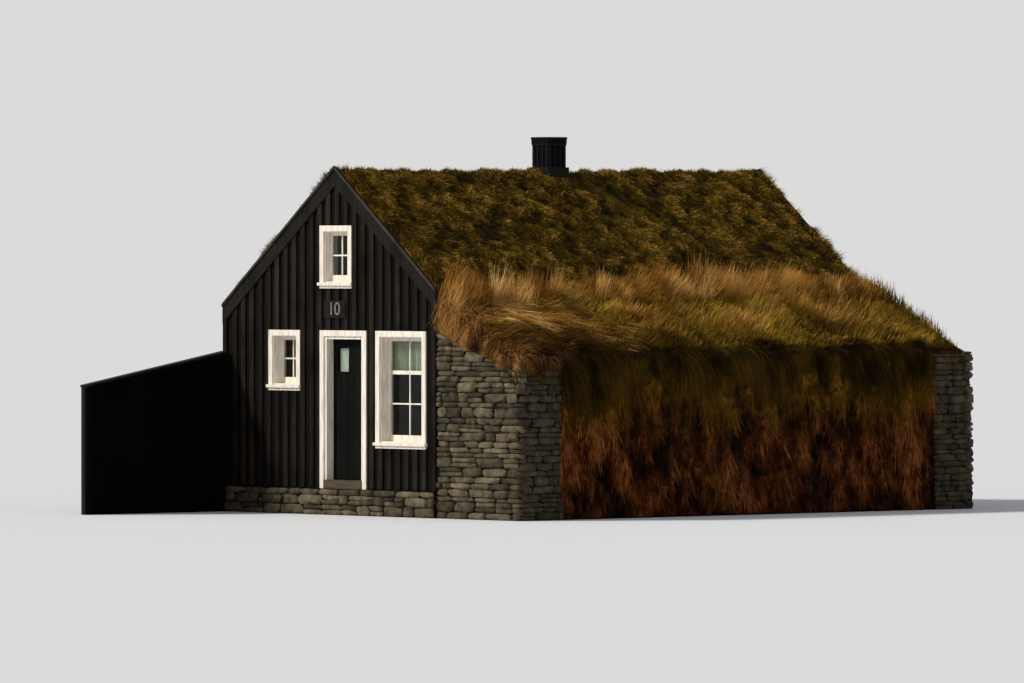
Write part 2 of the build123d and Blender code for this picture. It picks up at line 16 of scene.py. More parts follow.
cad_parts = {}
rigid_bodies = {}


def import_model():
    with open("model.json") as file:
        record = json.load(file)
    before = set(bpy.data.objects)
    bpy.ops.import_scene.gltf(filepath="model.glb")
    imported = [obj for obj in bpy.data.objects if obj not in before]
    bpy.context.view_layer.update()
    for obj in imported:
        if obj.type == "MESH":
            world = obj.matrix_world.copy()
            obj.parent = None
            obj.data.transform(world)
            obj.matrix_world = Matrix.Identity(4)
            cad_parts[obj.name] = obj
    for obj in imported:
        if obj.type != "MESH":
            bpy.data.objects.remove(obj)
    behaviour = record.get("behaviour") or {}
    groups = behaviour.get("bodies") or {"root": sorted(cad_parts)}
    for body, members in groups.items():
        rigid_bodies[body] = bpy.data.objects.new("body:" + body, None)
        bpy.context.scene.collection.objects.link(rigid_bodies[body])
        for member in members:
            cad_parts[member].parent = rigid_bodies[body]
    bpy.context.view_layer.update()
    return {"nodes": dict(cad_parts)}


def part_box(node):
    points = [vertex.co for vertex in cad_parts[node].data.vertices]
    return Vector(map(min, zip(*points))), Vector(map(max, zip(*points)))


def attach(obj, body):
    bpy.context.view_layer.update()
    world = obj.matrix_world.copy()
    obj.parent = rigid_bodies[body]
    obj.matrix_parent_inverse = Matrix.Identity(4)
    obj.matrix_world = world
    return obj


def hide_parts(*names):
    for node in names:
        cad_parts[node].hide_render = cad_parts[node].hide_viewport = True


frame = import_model()
nodes = frame["nodes"]

# %% [markdown]
# ## Sizes read from the frame
#
# A new piece must sit where the construction says. Typing the same numbers twice would let
# the two drift apart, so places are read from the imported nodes: a node's box gives a wall's
# faces, and the points of its mesh give the slopes.


# %% Read a node
def low_high(node):
    """The two corners of a node's box as arrays: lowest x, y, z and highest x, y, z."""
    low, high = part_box(node)
    return np.array(low), np.array(high)


def points_of(node):
    """All the points of a node's mesh as an array (n, 3)."""
    mesh = nodes[node].data
    points = np.empty(len(mesh.vertices) * 3)
    mesh.vertices.foreach_get("co", points)
    return points.reshape(-1, 3)


def loose_parts(node):
    """Points of each separate solid in a node.

    Points at one place, or joined by an edge, take the lowest label among them, again and
    again until nothing changes. Each label that is left is one solid.
    """
    mesh = nodes[node].data
    points = points_of(node).round(4)
    _, place = np.unique(points, axis=0, return_inverse=True)
    place = place.ravel()
    edges = np.empty(len(mesh.edges) * 2, np.int32)
    mesh.edges.foreach_get("vertices", edges)
    pairs = place[edges.reshape(-1, 2)]
    label = np.arange(place.max() + 1)
    changed = True
    while changed:
        before = label.copy()
        lowest = label[pairs].min(1)
        np.minimum.at(label, pairs[:, 0], lowest)
        np.minimum.at(label, pairs[:, 1], lowest)
        label = label[label]
        changed = not np.array_equal(before, label)
    group = label[place]
    return [points[group == g] for g in np.unique(group)]


# %% Places on the house
turf_low, turf_high = low_high("roof_turf_right")
kerb_high = low_high("valley_kerb")[1]
wall_low = low_high("front_wall_left")[0]
plinth_low, plinth_high = low_high("front_plinth")

PARTY_X = wall_low[0]
SIDE_X = turf_high[0]
RIDGE_Z = turf_high[2]
REAR_Y = low_high("rear_wall")[1][1]
WALL_FOOT = wall_low[2]
KERB_X = kerb_high[0]
SLOPE = (RIDGE_Z - kerb_high[2]) / -KERB_X
PITCH = math.atan(SLOPE)
TURF_DROP = RIDGE_Z - SLOPE * SIDE_X - turf_low[2]


def roof_z(x):
    """Height of the roof's flat surface: the ridge, less the slope times the way from it."""
    return RIDGE_Z - SLOPE * np.abs(x)


barge = points_of("barge_boards")
BARGE_UNDER = float((roof_z(barge[:, 0]) - barge[:, 2]).max())
print(f"front from {PARTY_X:.2f} to {SIDE_X:.2f}, ridge at {RIDGE_Z:.2f}, rear at {REAR_Y:.2f}")
print(f"slope {SLOPE:.3f}, turf {TURF_DROP:.3f} upright, barge reaches {BARGE_UNDER:.3f} below it")

# %% How far loose growth may reach
GROWTH_SIDE = 0.17
GROWTH_REAR = 0.3
CLEAR = 0.003
FAR = 9.0
stone_high = low_high("bank_rear_stone")[1]
LEAST = np.array([PARTY_X + CLEAR, -FAR, CLEAR])
MOST = np.array([stone_high[0] + GROWTH_SIDE, stone_high[1] + GROWTH_REAR, FAR])
print("growth stays within x", LEAST[0].round(3), "to", MOST[0].round(3), "and y", MOST[1].round(3))

# %% [markdown]
# ## Four ways to make a mesh
#
# Nearly everything here is one of four shapes. A **shell** is a slab between two grids of
# points, good for turf. **Boxes** are good for boards, **blocks** with rounded corners for
# stones, and tapering **blades** for grass. Each is worked out for all its copies at once
# with arrays: that is much faster than adding points one by one, and it keeps the formula
# in one line.


# %% Put arrays into a mesh
def placed(name, data):
    """A new object that holds the data, linked into the scene."""
    item = bpy.data.objects.new(name, data)
    bpy.context.scene.collection.objects.link(item)
    return item


def new_piece(name, points, faces, finish, uv=None, body="house", smooth=False):
    """Make an object from points (n, 3) and a list of face arrays, each (m, corners).

    uv, where given, is one (u, v) for each point. It is copied to every corner of a face.
    """
    mesh = bpy.data.meshes.new(name)
    corners = np.concatenate([part.ravel() for part in faces]).astype(np.int32)
    counts = np.concatenate([np.full(len(part), part.shape[1]) for part in faces])
    starts = np.concatenate(([0], np.cumsum(counts)[:-1])).astype(np.int32)
    mesh.vertices.add(len(points))
    mesh.vertices.foreach_set("co", np.asarray(points, np.float32).ravel())
    mesh.loops.add(len(corners))
    mesh.loops.foreach_set("vertex_index", corners)
    mesh.polygons.add(len(starts))
    mesh.polygons.foreach_set("loop_start", starts)
    if uv is not None:
        layer = mesh.uv_layers.new(name="surface")
        layer.data.foreach_set("uv", np.asarray(uv, np.float32)[corners].ravel())
    mesh.update(calc_edges=True)
    mesh.polygons.foreach_set("use_smooth", np.full(len(mesh.polygons), smooth))
    mesh.materials.append(finish)
    piece = placed(name, mesh)
    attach(piece, body)
    print(f"{name}: {len(points)} points, {int((counts - 2).sum())} triangles")
    return piece


# %% Smooth noise
LATTICE = 256


def noise(x, y, size, seed):
    """Random heights on a lattice, blended between its points; from -1 to 1.

    With a and b the ways into a cell, smoothed as 3a^2 - 2a^3, the four corners' heights
    are weighted by (1 - a)(1 - b), a(1 - b), (1 - a)b and ab, and added up.
    """
    table = np.random.default_rng(seed).uniform(-1, 1, (LATTICE, LATTICE))
    x, y = np.broadcast_arrays(np.asarray(x) / size, np.asarray(y) / size)
    i = np.floor(x).astype(int)
    j = np.floor(y).astype(int)
    a = x - i
    b = y - j
    a = a * a * (3 - 2 * a)
    b = b * b * (3 - 2 * b)
    i0, i1, j0, j1 = i % LATTICE, (i + 1) % LATTICE, j % LATTICE, (j + 1) % LATTICE
    near = table[i0, j0] * (1 - a) + table[i1, j0] * a
    far = table[i0, j1] * (1 - a) + table[i1, j1] * a
    return near * (1 - b) + far * b


def lumps(x, y, sizes, heights, seed):
    """Sum of noises, one for each size, each scaled to its own height."""
    layers = [
        height * noise(x, y, size, seed + step)
        for step, (size, height) in enumerate(zip(sizes, heights))
    ]
    return sum(layers)


def blended(x, y, known, values, reach):
    """Values known at scattered places (n, 2), carried over to x and y.

    A known place at a distance d weighs exp(-d^2 / (2 reach^2)), and the values are averaged
    by these weights.
    """
    x, y = np.broadcast_arrays(np.asarray(x, float), np.asarray(y, float))
    away = (x[..., None] - known[:, 0])**2 + (y[..., None] - known[:, 1])**2
    weight = np.exp(-away / (2 * reach**2))
    return (weight * values).sum(-1) / weight.sum(-1)


# %% A slab between two grids
def shell(top, bottom, keep=None):
    """Closed slab between two grids of points, each (rows, columns, 3).

    keep says which cells are solid. Where a kept cell has no kept neighbour, the edge
    between them gets an upright face that joins the two grids. Rows and columns turn
    anticlockwise seen from the top side.
    """
    rows, columns = top.shape[:2]
    if keep is None:
        keep = np.ones((rows - 1, columns - 1), bool)
    index = np.arange(rows * columns).reshape(rows, columns)
    corner = (index[:-1, :-1], index[:-1, 1:], index[1:, 1:], index[1:, :-1])
    cells = np.stack([part[keep] for part in corner], 1)
    under = rows * columns
    faces = [cells, cells[:, ::-1] + under]
    around = np.pad(keep, 1)
    neighbours = (around[:-2, 1:-1], around[1:-1, 2:], around[2:, 1:-1], around[1:-1, :-2])
    for side in range(4):
        edge = keep & ~neighbours[side]
        start = corner[side][edge]
        end = corner[(side + 1) % 4][edge]
        faces.append(np.stack([end, start, start + under, end + under], 1))
    points = np.concatenate([top.reshape(-1, 3), bottom.reshape(-1, 3)])
    used = np.unique(np.concatenate([part.ravel() for part in faces]))
    place = np.zeros(len(points), int)
    place[used] = np.arange(len(used))
    return points[used], [place[part] for part in faces]


def even_steps(marks, step):
    """Places from the first mark to the last, about a step apart, with each mark among them."""
    runs = [
        np.linspace(start, end, max(int(round((end - start) / step)), 1), endpoint=False)
        for start, end in zip(marks[:-1], marks[1:])
    ]
    return np.concatenate(runs + [[marks[-1]]])


# %% Many boxes
UNIT_BOX = np.array([[x, y, z] for z in (0, 1) for y in (0, 1) for x in (0, 1)])
BOX_FACES = np.array([
    [0, 2, 3, 1], [4, 5, 7, 6], [0, 1, 5, 4], [1, 3, 7, 5], [3, 2, 6, 7], [2, 0, 4, 6],
])


def boxes(low, high):
    """Corners (n, 8, 3) of n boxes: the low corner plus each unit corner times the size."""
    low = np.atleast_2d(low).astype(float)
    high = np.atleast_2d(high).astype(float)
    return low[:, None, :] + UNIT_BOX[None] * (high - low)[:, None, :]


def paired_boxes(pairs):
    """Boxes from a list of pairs, each a low and a high corner."""
    return boxes([low for low, _ in pairs], [high for _, high in pairs])


def ring(low, high, wide, span, axis):
    """Four bars outside a rectangle, wide metres broad; span is their range along the axis."""
    (a0, b0), (a1, b1) = low, high
    lows = [(a0 - wide, b0 - wide), (a0 - wide, b1), (a0 - wide, b0), (a1, b0)]
    highs = [(a1 + wide, b0), (a1 + wide, b1 + wide), (a0, b1), (a1 + wide, b1)]
    return boxes(np.insert(lows, axis, span[0], axis=1), np.insert(highs, axis, span[1], axis=1))


def board_piece(name, corners, finish, seed, body="house", bevel=0.004):
    """Boxes as boards: each has its own tone as u, its height as v, and bevelled edges."""
    count = len(corners)
    faces = (BOX_FACES[None] + 8 * np.arange(count)[:, None, None]).reshape(-1, 4)
    tone = np.random.default_rng(seed).uniform(0, 1, count)
    uv = np.stack([np.repeat(tone, 8), np.tile(UNIT_BOX[:, 2], count)], 1)
    piece = new_piece(name, corners.reshape(-1, 3), [faces], finish, uv, body)
    edge = piece.modifiers.new("edge", "BEVEL")
    edge.width = bevel
    edge.segments = 1
    edge.limit_method = "ANGLE"
    return piece


# %% Many blocks with rounded corners
CUTS = 3
SHEAR = 0.12
SKEW = 0.1
UP = np.array([0, 0, 1.0])


def block_grid():
    """Points on a cube's surface, cut into CUTS by CUTS cells a side, and its faces.

    Each side is a grid in two directions; equal points of neighbouring sides are merged.
    """
    across = np.linspace(-1, 1, CUTS + 1)
    a, b = np.meshgrid(across, across, indexing="ij")
    index = np.arange((CUTS + 1) ** 2).reshape(CUTS + 1, CUTS + 1)
    cells = np.stack([index[:-1, :-1], index[1:, :-1], index[1:, 1:], index[:-1, 1:]], -1)
    cells = cells.reshape(-1, 4)
    points, faces = [], []
    for axis in range(3):
        for sign in (-1, 1):
            side = np.empty((index.size, 3))
            side[:, axis] = sign
            side[:, (axis + 1) % 3] = a.ravel()
            side[:, (axis + 2) % 3] = b.ravel()
            faces.append((cells if sign > 0 else cells[:, ::-1]) + len(points) * index.size)
            points.append(side)
    merged, place = np.unique(np.concatenate(points).round(6), axis=0, return_inverse=True)
    return merged, place.ravel()[np.concatenate(faces)]


BLOCK_POINTS, BLOCK_FACES = block_grid()


def blocks(middle, half, along, outward, seed, power=5.0, rough=0.07):
    """Rounded blocks (n) with their middles (n, 3), half sizes (n, 3) and two directions.

    A cube point p goes to p / (|x|^k + |y|^k + |z|^k)^(1/k), which rounds the corners more
    the smaller k is. Then it is shifted by a random share of the half size, sheared a
    little, and laid out along the wall, upwards, and outwards from its face.
    """
    rng = np.random.default_rng(seed)
    count = len(middle)
    norm = (np.abs(BLOCK_POINTS) ** power).sum(1) ** (1 / power)
    unit = BLOCK_POINTS / norm[:, None]
    shape = unit[None] + rng.normal(0, rough, (count,) + unit.shape)
    shape[:, :, 0] += rng.uniform(-SHEAR, SHEAR, (count, 1)) * shape[:, :, 1]
    shape[:, :, 1] += rng.uniform(-SKEW, SKEW, (count, 1)) * shape[:, :, 0]
    shape *= half[:, None, :]
    points = (middle[:, None, :] + shape[..., 0:1] * along + shape[..., 1:2] * UP
              + shape[..., 2:3] * outward)
    faces = BLOCK_FACES[None] + len(unit) * np.arange(count)[:, None, None]
    tone = np.repeat(rng.uniform(0, 1, count), len(unit))
    high = np.tile((unit[:, 1] + 1) / 2, count)
    return points.reshape(-1, 3), faces.reshape(-1, 4), np.stack([tone, high], 1)


# %% Many blades of grass
FACING_SPREAD = 0.5
TAPER = 1.5


def blades(name, finish, roots, lean, length, width, droop, facing, seed, segments, tone=None):
    """A piece of thin tapering strips, one from each root (n, 3), worked out all together.

    A point t along a blade is root + length (t lean + t^2 droop down). The strip's half
    width there is width (1 - t^TAPER) / 2, square to the lean and to a direction that is
    about the facing one, so that most blades show their flat side that way. Blades that
    would reach past LEAST or MOST are left out.
    """
    rng = np.random.default_rng(seed)
    count = len(roots)
    facing = np.asarray(facing, float)
    lean = lean / np.linalg.norm(lean, axis=1, keepdims=True)
    side = np.cross(lean, facing + rng.normal(0, FACING_SPREAD, (count, 3)))
    side /= np.linalg.norm(side, axis=1, keepdims=True)
    side[np.cross(side, lean) @ facing < 0] *= -1
    t = np.linspace(0, 1, segments + 1)
    fall = -UP * (t**2)[None, :, None] * droop[:, None, None]
    spine = roots[:, None] + length[:, None, None] * (t[None, :, None] * lean[:, None] + fall)
    taper = 1 - t[None, :segments, None] ** TAPER
    half = width[:, None, None] / 2 * taper * side[:, None]
    points = np.concatenate(
        [spine[:, :segments] - half, spine[:, :segments] + half, spine[:, -1:]], axis=1)
    tone = rng.uniform(0, 1, count) if tone is None else tone
    within = ((points > LEAST) & (points < MOST)).all((1, 2))
    points, tone, count = points[within], tone[within], int(within.sum())
    each = 2 * segments + 1
    step = np.arange(segments - 1)
    quads = np.stack([step, step + segments, step + segments + 1, step + 1], 1)
    tips = np.array([[segments - 1, 2 * segments - 1, 2 * segments]])
    base = (each * np.arange(count))[:, None, None]
    along = np.concatenate([t[:segments], t[:segments], [1.0]])
    uv = np.stack([np.repeat(tone, each), np.tile(along, count)], 1)
    faces = [(quads[None] + base).reshape(-1, 4), (tips[None] + base).reshape(-1, 3)]
    return new_piece(name, points.reshape(-1, 3), faces, finish, uv)


def leans(rng, count, x, y, z, spread):
    """Directions (count, 3): three parts, each one number or one a blade, and a random spread."""
    parts = np.broadcast_arrays(x, y, z, np.empty(count))[:3]
    return np.stack(parts, 1) + rng.normal(0, spread, (count, 3))


# %% [markdown]
# ## Finishes
#
# A finish is a small network of nodes. Noise on Object coordinates gives the mottling, so
# nothing slides when the door moves, and the tone stored in each board's or blade's own UV
# keeps neighbours from looking alike. The helpers below keep each finish to a few lines.
# Black boards and turf reflect very little, so their specular level is low: with the usual
# one, a pale sky would turn the black to grey.


# %% Node helpers
def linear(red, green, blue):
    """A colour written as 0 to 255 in sRGB, turned to the linear values that shaders use.

    Above 0.04045 it is ((c + 0.055) / 1.055) ^ 2.4, and below it c / 12.92.
    """
    def one(value):
        c = value / 255
        return ((c + 0.055) / 1.055) ** 2.4 if c > 0.04045 else c / 12.92
    return (one(red), one(green), one(blue), 1.0)


def grey(value):
    """A linear grey, used to lighten or darken another colour by multiplying it."""
    return (value, value, value, 1.0)


class Finish:
    """A material, with short calls that add and join its nodes."""

    def __init__(self, name, roughness=0.8, specular=0.12):
        self.material = bpy.data.materials.new(name)
        self.material.use_nodes = True
        self.tree = self.material.node_tree
        self.shader = self.tree.nodes["Principled BSDF"]
        self.shader.inputs["Roughness"].default_value = roughness
        self.shader.inputs["Specular IOR Level"].default_value = specular
        self.place = self.add("ShaderNodeTexCoord").outputs["Object"]

    def add(self, kind, **values):
        """A node with the given properties set."""
        node = self.tree.nodes.new(kind)
        for key, value in values.items():
            setattr(node, key, value)
        return node

    def lead(self, value, socket):
        """Set an input to a number or colour, or lead another node's output into it."""
        if hasattr(value, "is_linked"):
            self.tree.links.new(value, socket)
        else:
            socket.default_value = value

    def stretched(self, scale):
        """Object coordinates multiplied by a scale in x, y and z."""
        node = self.add("ShaderNodeMapping")
        node.inputs["Scale"].default_value = scale
        self.lead(self.place, node.inputs["Vector"])
        return node.outputs["Vector"]

    def noise(self, scale, detail=4.0, place=None, roughness=0.55):
        """Cloudy values from 0 to 1, about 1 / scale metres across."""
        node = self.add("ShaderNodeTexNoise")
        node.inputs["Scale"].default_value = scale
        node.inputs["Detail"].default_value = detail
        node.inputs["Roughness"].default_value = roughness
        self.lead(place or self.place, node.inputs["Vector"])
        return node.outputs["Fac"]

    def spread(self, value, low=0.36, high=0.64):
        """Values from low to high stretched to fill 0 to 1."""
        node = self.add("ShaderNodeMapRange")
        self.lead(value, node.inputs["Value"])
        node.inputs["From Min"].default_value = low
        node.inputs["From Max"].default_value = high
        return node.outputs["Result"]

    def ramp(self, value, stops):
        """Colours at places from 0 to 1, blended between. A colour of three values is sRGB."""
        stops = [(at, colour if len(colour) == 4 else linear(*colour)) for at, colour in stops]
        node = self.add("ShaderNodeValToRGB")
        elements = node.color_ramp.elements
        for index, (at, colour) in enumerate((stops[0], stops[-1])):
            elements[index].position = at
            elements[index].color = colour
        for at, colour in stops[1:-1]:
            elements.new(at).color = colour
        self.lead(value, node.inputs["Fac"])
        return node.outputs["Color"]

    def mix(self, amount, one, two, blend="MIX"):
        """Two colours blended by an amount; each is a plain value or an output."""
        node = self.add("ShaderNodeMix", data_type="RGBA", blend_type=blend)
        self.lead(amount, node.inputs[0])
        self.lead(one, node.inputs[6])
        self.lead(two, node.inputs[7])
        return node.outputs[2]

    def math(self, operation, one, two=0.0):
        """One sum of one or two values, each a number or an output."""
        node = self.add("ShaderNodeMath", operation=operation)
        self.lead(one, node.inputs[0])
        self.lead(two, node.inputs[1])
        return node.outputs[0]

    def axes(self):
        """Object x, y and z as three outputs."""
        node = self.add("ShaderNodeSeparateXYZ")
        self.lead(self.place, node.inputs["Vector"])
        return node.outputs["X"], node.outputs["Y"], node.outputs["Z"]

    def tone_and_way(self):
        """The tone (u) and the way along (v) that the piece's own UV holds."""
        node = self.add("ShaderNodeSeparateXYZ")
        self.lead(self.add("ShaderNodeUVMap", uv_map="surface").outputs["UV"], node.inputs["Vector"])
        return node.outputs["X"], node.outputs["Y"]

    def close(self, colour, relief=None, strength=0.5, depth=0.01, rough=None):
        """Lead the colour, and where given the relief and roughness, into the shader."""
        self.lead(colour, self.shader.inputs["Base Color"])
        if rough is not None:
            self.lead(rough, self.shader.inputs["Roughness"])
        if relief is not None:
            node = self.add("ShaderNodeBump")
            node.inputs["Strength"].default_value = strength
            node.inputs["Distance"].default_value = depth
            self.lead(relief, node.inputs["Height"])
            self.lead(node.outputs["Normal"], self.shader.inputs["Normal"])
        return self.material


# %% [markdown]
# ### Tarred boards
#
# The front is clad in upright boards, black with tar and greyed where rain has washed it.
# The grain is noise stretched tall and thin along Z. Plain walls, which have no single
# boards, get grooves from the same coordinates: the way to the nearest joint is found by
# dividing by the board's width and keeping the fraction.


# %% Black boards
UPRIGHT_GRAIN = (12, 12, 0.7)


def tarred(name, dark, worn, tones=(0.6, 1.4), specular=0.08):
    """Nearly black wood with upright grain, worn in streaks, and a tone for each board."""
    f = Finish(name, roughness=0.75, specular=specular)
    grain = f.noise(5.0, 6.0, f.stretched(UPRIGHT_GRAIN), 0.65)
    patches = f.noise(1.2, 3.0)
    wear = f.math("MULTIPLY", grain, patches)
    colour = f.ramp(wear, [(0.14, dark), (0.3, worn), (0.5, dark)])
    if tones:
        tone, _ = f.tone_and_way()
        shade = f.ramp(tone, [(0.0, grey(tones[0])), (1.0, grey(tones[1]))])
        colour = f.mix(1.0, colour, shade, "MULTIPLY")
    rough = f.math("ADD", f.math("MULTIPLY", grain, 0.35), 0.45)
    return f.close(colour, grain, 0.5, 0.006, rough)


def grooved(name, dark, worn, axis, pitch, groove):
    """Tarred wall with upright joints every pitch along X (0) or Y (1), groove metres wide."""
    f = Finish(name, roughness=0.8, specular=0.08)
    grain = f.noise(5.0, 6.0, f.stretched(UPRIGHT_GRAIN), 0.65)
    steps = f.math("DIVIDE", f.axes()[axis], pitch)
    way = f.math("FRACT", steps)
    middle = f.math("ABSOLUTE", f.math("SUBTRACT", way, 0.5))
    edge = 0.5 - groove / pitch
    flat = f.ramp(middle, [(edge, grey(1.0)), (min(edge + 0.04, 0.499), grey(0.0))])
    own = f.add("ShaderNodeTexWhiteNoise", noise_dimensions="1D")
    f.lead(f.math("FLOOR", steps), own.inputs["W"])
    shade = f.ramp(own.outputs["Value"], [(0.0, grey(0.6)), (1.0, grey(1.35))])
    wood = f.ramp(grain, [(0.35, dark), (0.7, worn)])
    colour = f.mix(1.0, wood, shade, "MULTIPLY")
    colour = f.mix(1.0, colour, f.ramp(middle, [(edge, grey(1.0)), (0.499, grey(0.15))]), "MULTIPLY")
    relief = f.math("ADD", f.math("MULTIPLY", grain, 0.15), flat)
    return f.close(colour, relief, 0.8, 0.008)


board_finish = tarred("tarred_boards", (14, 11, 9), (42, 36, 31), (0.5, 1.3), 0.04)
# The wall layer between the cover boards is the same tar, about three times darker: painted shade in
# the recesses between the boards.
recess_shade_finish = tarred("tarred_recess_painted_shade", (5, 4, 4), (13, 12, 10), None, 0.05)
barge_finish = tarred("tarred_barge", (13, 12, 10), (34, 31, 27), None, 0.05)
# Pale grey tar for the barge mouldings: a painted highlight along the barge's top edge.
strip_highlight_finish = tarred("pale_strip_painted_highlight", (33, 30, 26), (64, 59, 50), (0.8, 1.15), 0.05)
# The screen's face is black tar, darkened further to nearly pure black: painted shade for its side
# away from the key light.
screen_shade_finish = tarred("tarred_screen_painted_shade", (2, 1, 1), (8, 7, 7), (0.6, 1.3), 0.02)
post_finish = tarred("tarred_posts", (12, 11, 10), (36, 34, 30), None, 0.04)
door_finish = tarred("painted_door", (3, 5, 4), (12, 17, 13), (0.7, 1.2), 0.06)
leaf_finish = tarred("painted_leaf", (4, 5, 4), (10, 12, 10), None, 0.08)
chimney_finish = tarred("tarred_chimney", (6, 6, 8), (21, 19, 23), (0.7, 1.3), 0.05)
flue_finish = tarred("tarred_flue", (3, 3, 4), (9, 8, 10), None, 0.04)
plank_finish = grooved("tarred_planks", (20, 19, 18), (50, 47, 43), 1, 0.19, 0.006)
side_plank_finish = grooved("side_planks", (16, 15, 14), (40, 38, 35), 1, 0.22, 0.006)


# %% [markdown]
# ### White paint
#
# Casings, sashes and the door's frame are painted off-white. Rain streaks, a little bare
# wood in specks and a brushed relief keep them from looking like plastic.


# %% White paint
def painted(name, light, dull):
    """Off-white paint, dulled in streaks that run down, worn through in small specks."""
    f = Finish(name, roughness=0.55, specular=0.3)
    streaks = f.noise(4.0, 5.0, f.stretched((7, 7, 0.8)))
    specks = f.ramp(f.noise(34.0, 3.0), [(0.64, grey(0.0)), (0.8, grey(0.6))])
    base = f.ramp(streaks, [(0.32, dull), (0.56, light)])
    colour = f.mix(specks, base, linear(128, 118, 100))
    brushed = f.noise(9.0, 4.0, f.stretched((1.5, 1.5, 9)))
    return f.close(colour, brushed, 0.3, 0.003)


white_finish = painted("white_paint", (241, 233, 219), (208, 197, 180))
digit_finish = painted("digit_paint", (122, 118, 108), (84, 80, 73))


# %% Bare timber, glass, iron and cloth
def bare_timber(name, dark, light, along):
    """Sawn wood, brown, with a long grain in the direction that the scale leaves short."""
    f = Finish(name, roughness=0.8, specular=0.15)
    grain = f.noise(5.0, 5.0, f.stretched(along))
    patches = f.noise(0.9, 2.0)
    colour = f.ramp(f.math("MULTIPLY", grain, f.math("ADD", patches, 0.5)),
                    [(0.3, dark), (0.65, light)])
    return f.close(colour, grain, 0.5, 0.004)


def window_glass():
    """Old glass, a little uneven, that shows the dark room behind it."""
    f = Finish("window_glass", roughness=0.03, specular=0.5)
    f.shader.inputs["Transmission Weight"].default_value = 1.0
    f.shader.inputs["IOR"].default_value = 1.2
    waves = f.noise(4.0, 2.0)
    colour = f.ramp(waves, [(0.2, (0.7, 0.77, 0.73, 1)), (0.8, (0.86, 0.9, 0.87, 1))])
    return f.close(colour, waves, 0.1, 0.004)


def black_iron():
    """Hammered iron, dark, with dull spots."""
    f = Finish("black_iron", roughness=0.5, specular=0.5)
    f.shader.inputs["Metallic"].default_value = 0.7
    spots = f.noise(60.0, 3.0)
    colour = f.ramp(spots, [(0.3, (34, 33, 33)), (0.75, (66, 60, 54))])
    return f.close(colour, spots, 0.4, 0.002)


WEAVE = 1800.0


def net_cloth(name, dull, light):
    """Thin pale cloth with a plain weave: two fine waves, one across and one up."""
    f = Finish(name, roughness=0.9, specular=0.1)
    x, _, z = f.axes()
    across, up = (f.math("SINE", f.math("MULTIPLY", way, WEAVE)) for way in (x, z))
    colour = f.ramp(f.noise(3.0, 3.0), [(0.3, dull), (0.7, light)])
    return f.close(colour, f.math("MULTIPLY", across, up), 0.2, 0.0006)


timber_finish = bare_timber("bare_timber", (78, 58, 38), (134, 104, 72), (10, 0.8, 10))
sill_finish = bare_timber("worn_threshold", (52, 44, 34), (92, 80, 64), (0.8, 10, 10))
glass_finish = window_glass()
iron_finish = black_iron()
cloth_finish = net_cloth("net_cloth", (146, 150, 130), (184, 186, 164))
door_cloth_finish = net_cloth("door_cloth", (206, 214, 200), (228, 232, 222))


# %% [markdown]
# ### Stone, turf and grass
#
# The stone is dark basalt with pale lichen. Turf goes from moss green to brown in patches,
# with painted shade in the small hollows between and a painted highlight on the tops. Grass is
# coloured by each blade's own tone and by patches, so that whole tufts turn straw or green
# together, and each blade is dark at its root, where light doesn't reach: painted shade.


# %% Stone
def basalt(name, dark, pale, tones=(0.45, 1.6), lichen=0.4):
    """Grey-brown stone, pitted, with lichen in spots and a tone for each stone."""
    f = Finish(name, roughness=0.9, specular=0.1)
    coarse = f.noise(8.0, 5.0)
    pits = f.noise(42.0, 4.0)
    colour = f.ramp(coarse, [(0.3, dark), (0.68, pale)])
    if tones:
        tone, _ = f.tone_and_way()
        shade = f.ramp(tone, [(0.0, grey(tones[0])), (0.6, grey(1.0)), (1.0, grey(tones[1]))])
        colour = f.mix(1.0, colour, shade, "MULTIPLY")
    spots = f.ramp(f.noise(15.0, 6.0, roughness=0.7), [(0.6, grey(0.0)), (0.7, grey(lichen))])
    colour = f.mix(spots, colour, linear(140, 132, 100))
    return f.close(colour, f.math("ADD", pits, coarse), 0.8, 0.02)


stone_finish = basalt("basalt", (52, 47, 37), (104, 94, 74))
joint_finish = basalt("stone_joints", (10, 9, 6), (26, 22, 15), None, 0.1)


# %% Turf, earth and grass
MOSS = (0.84, 1.15, 0.56, 1)


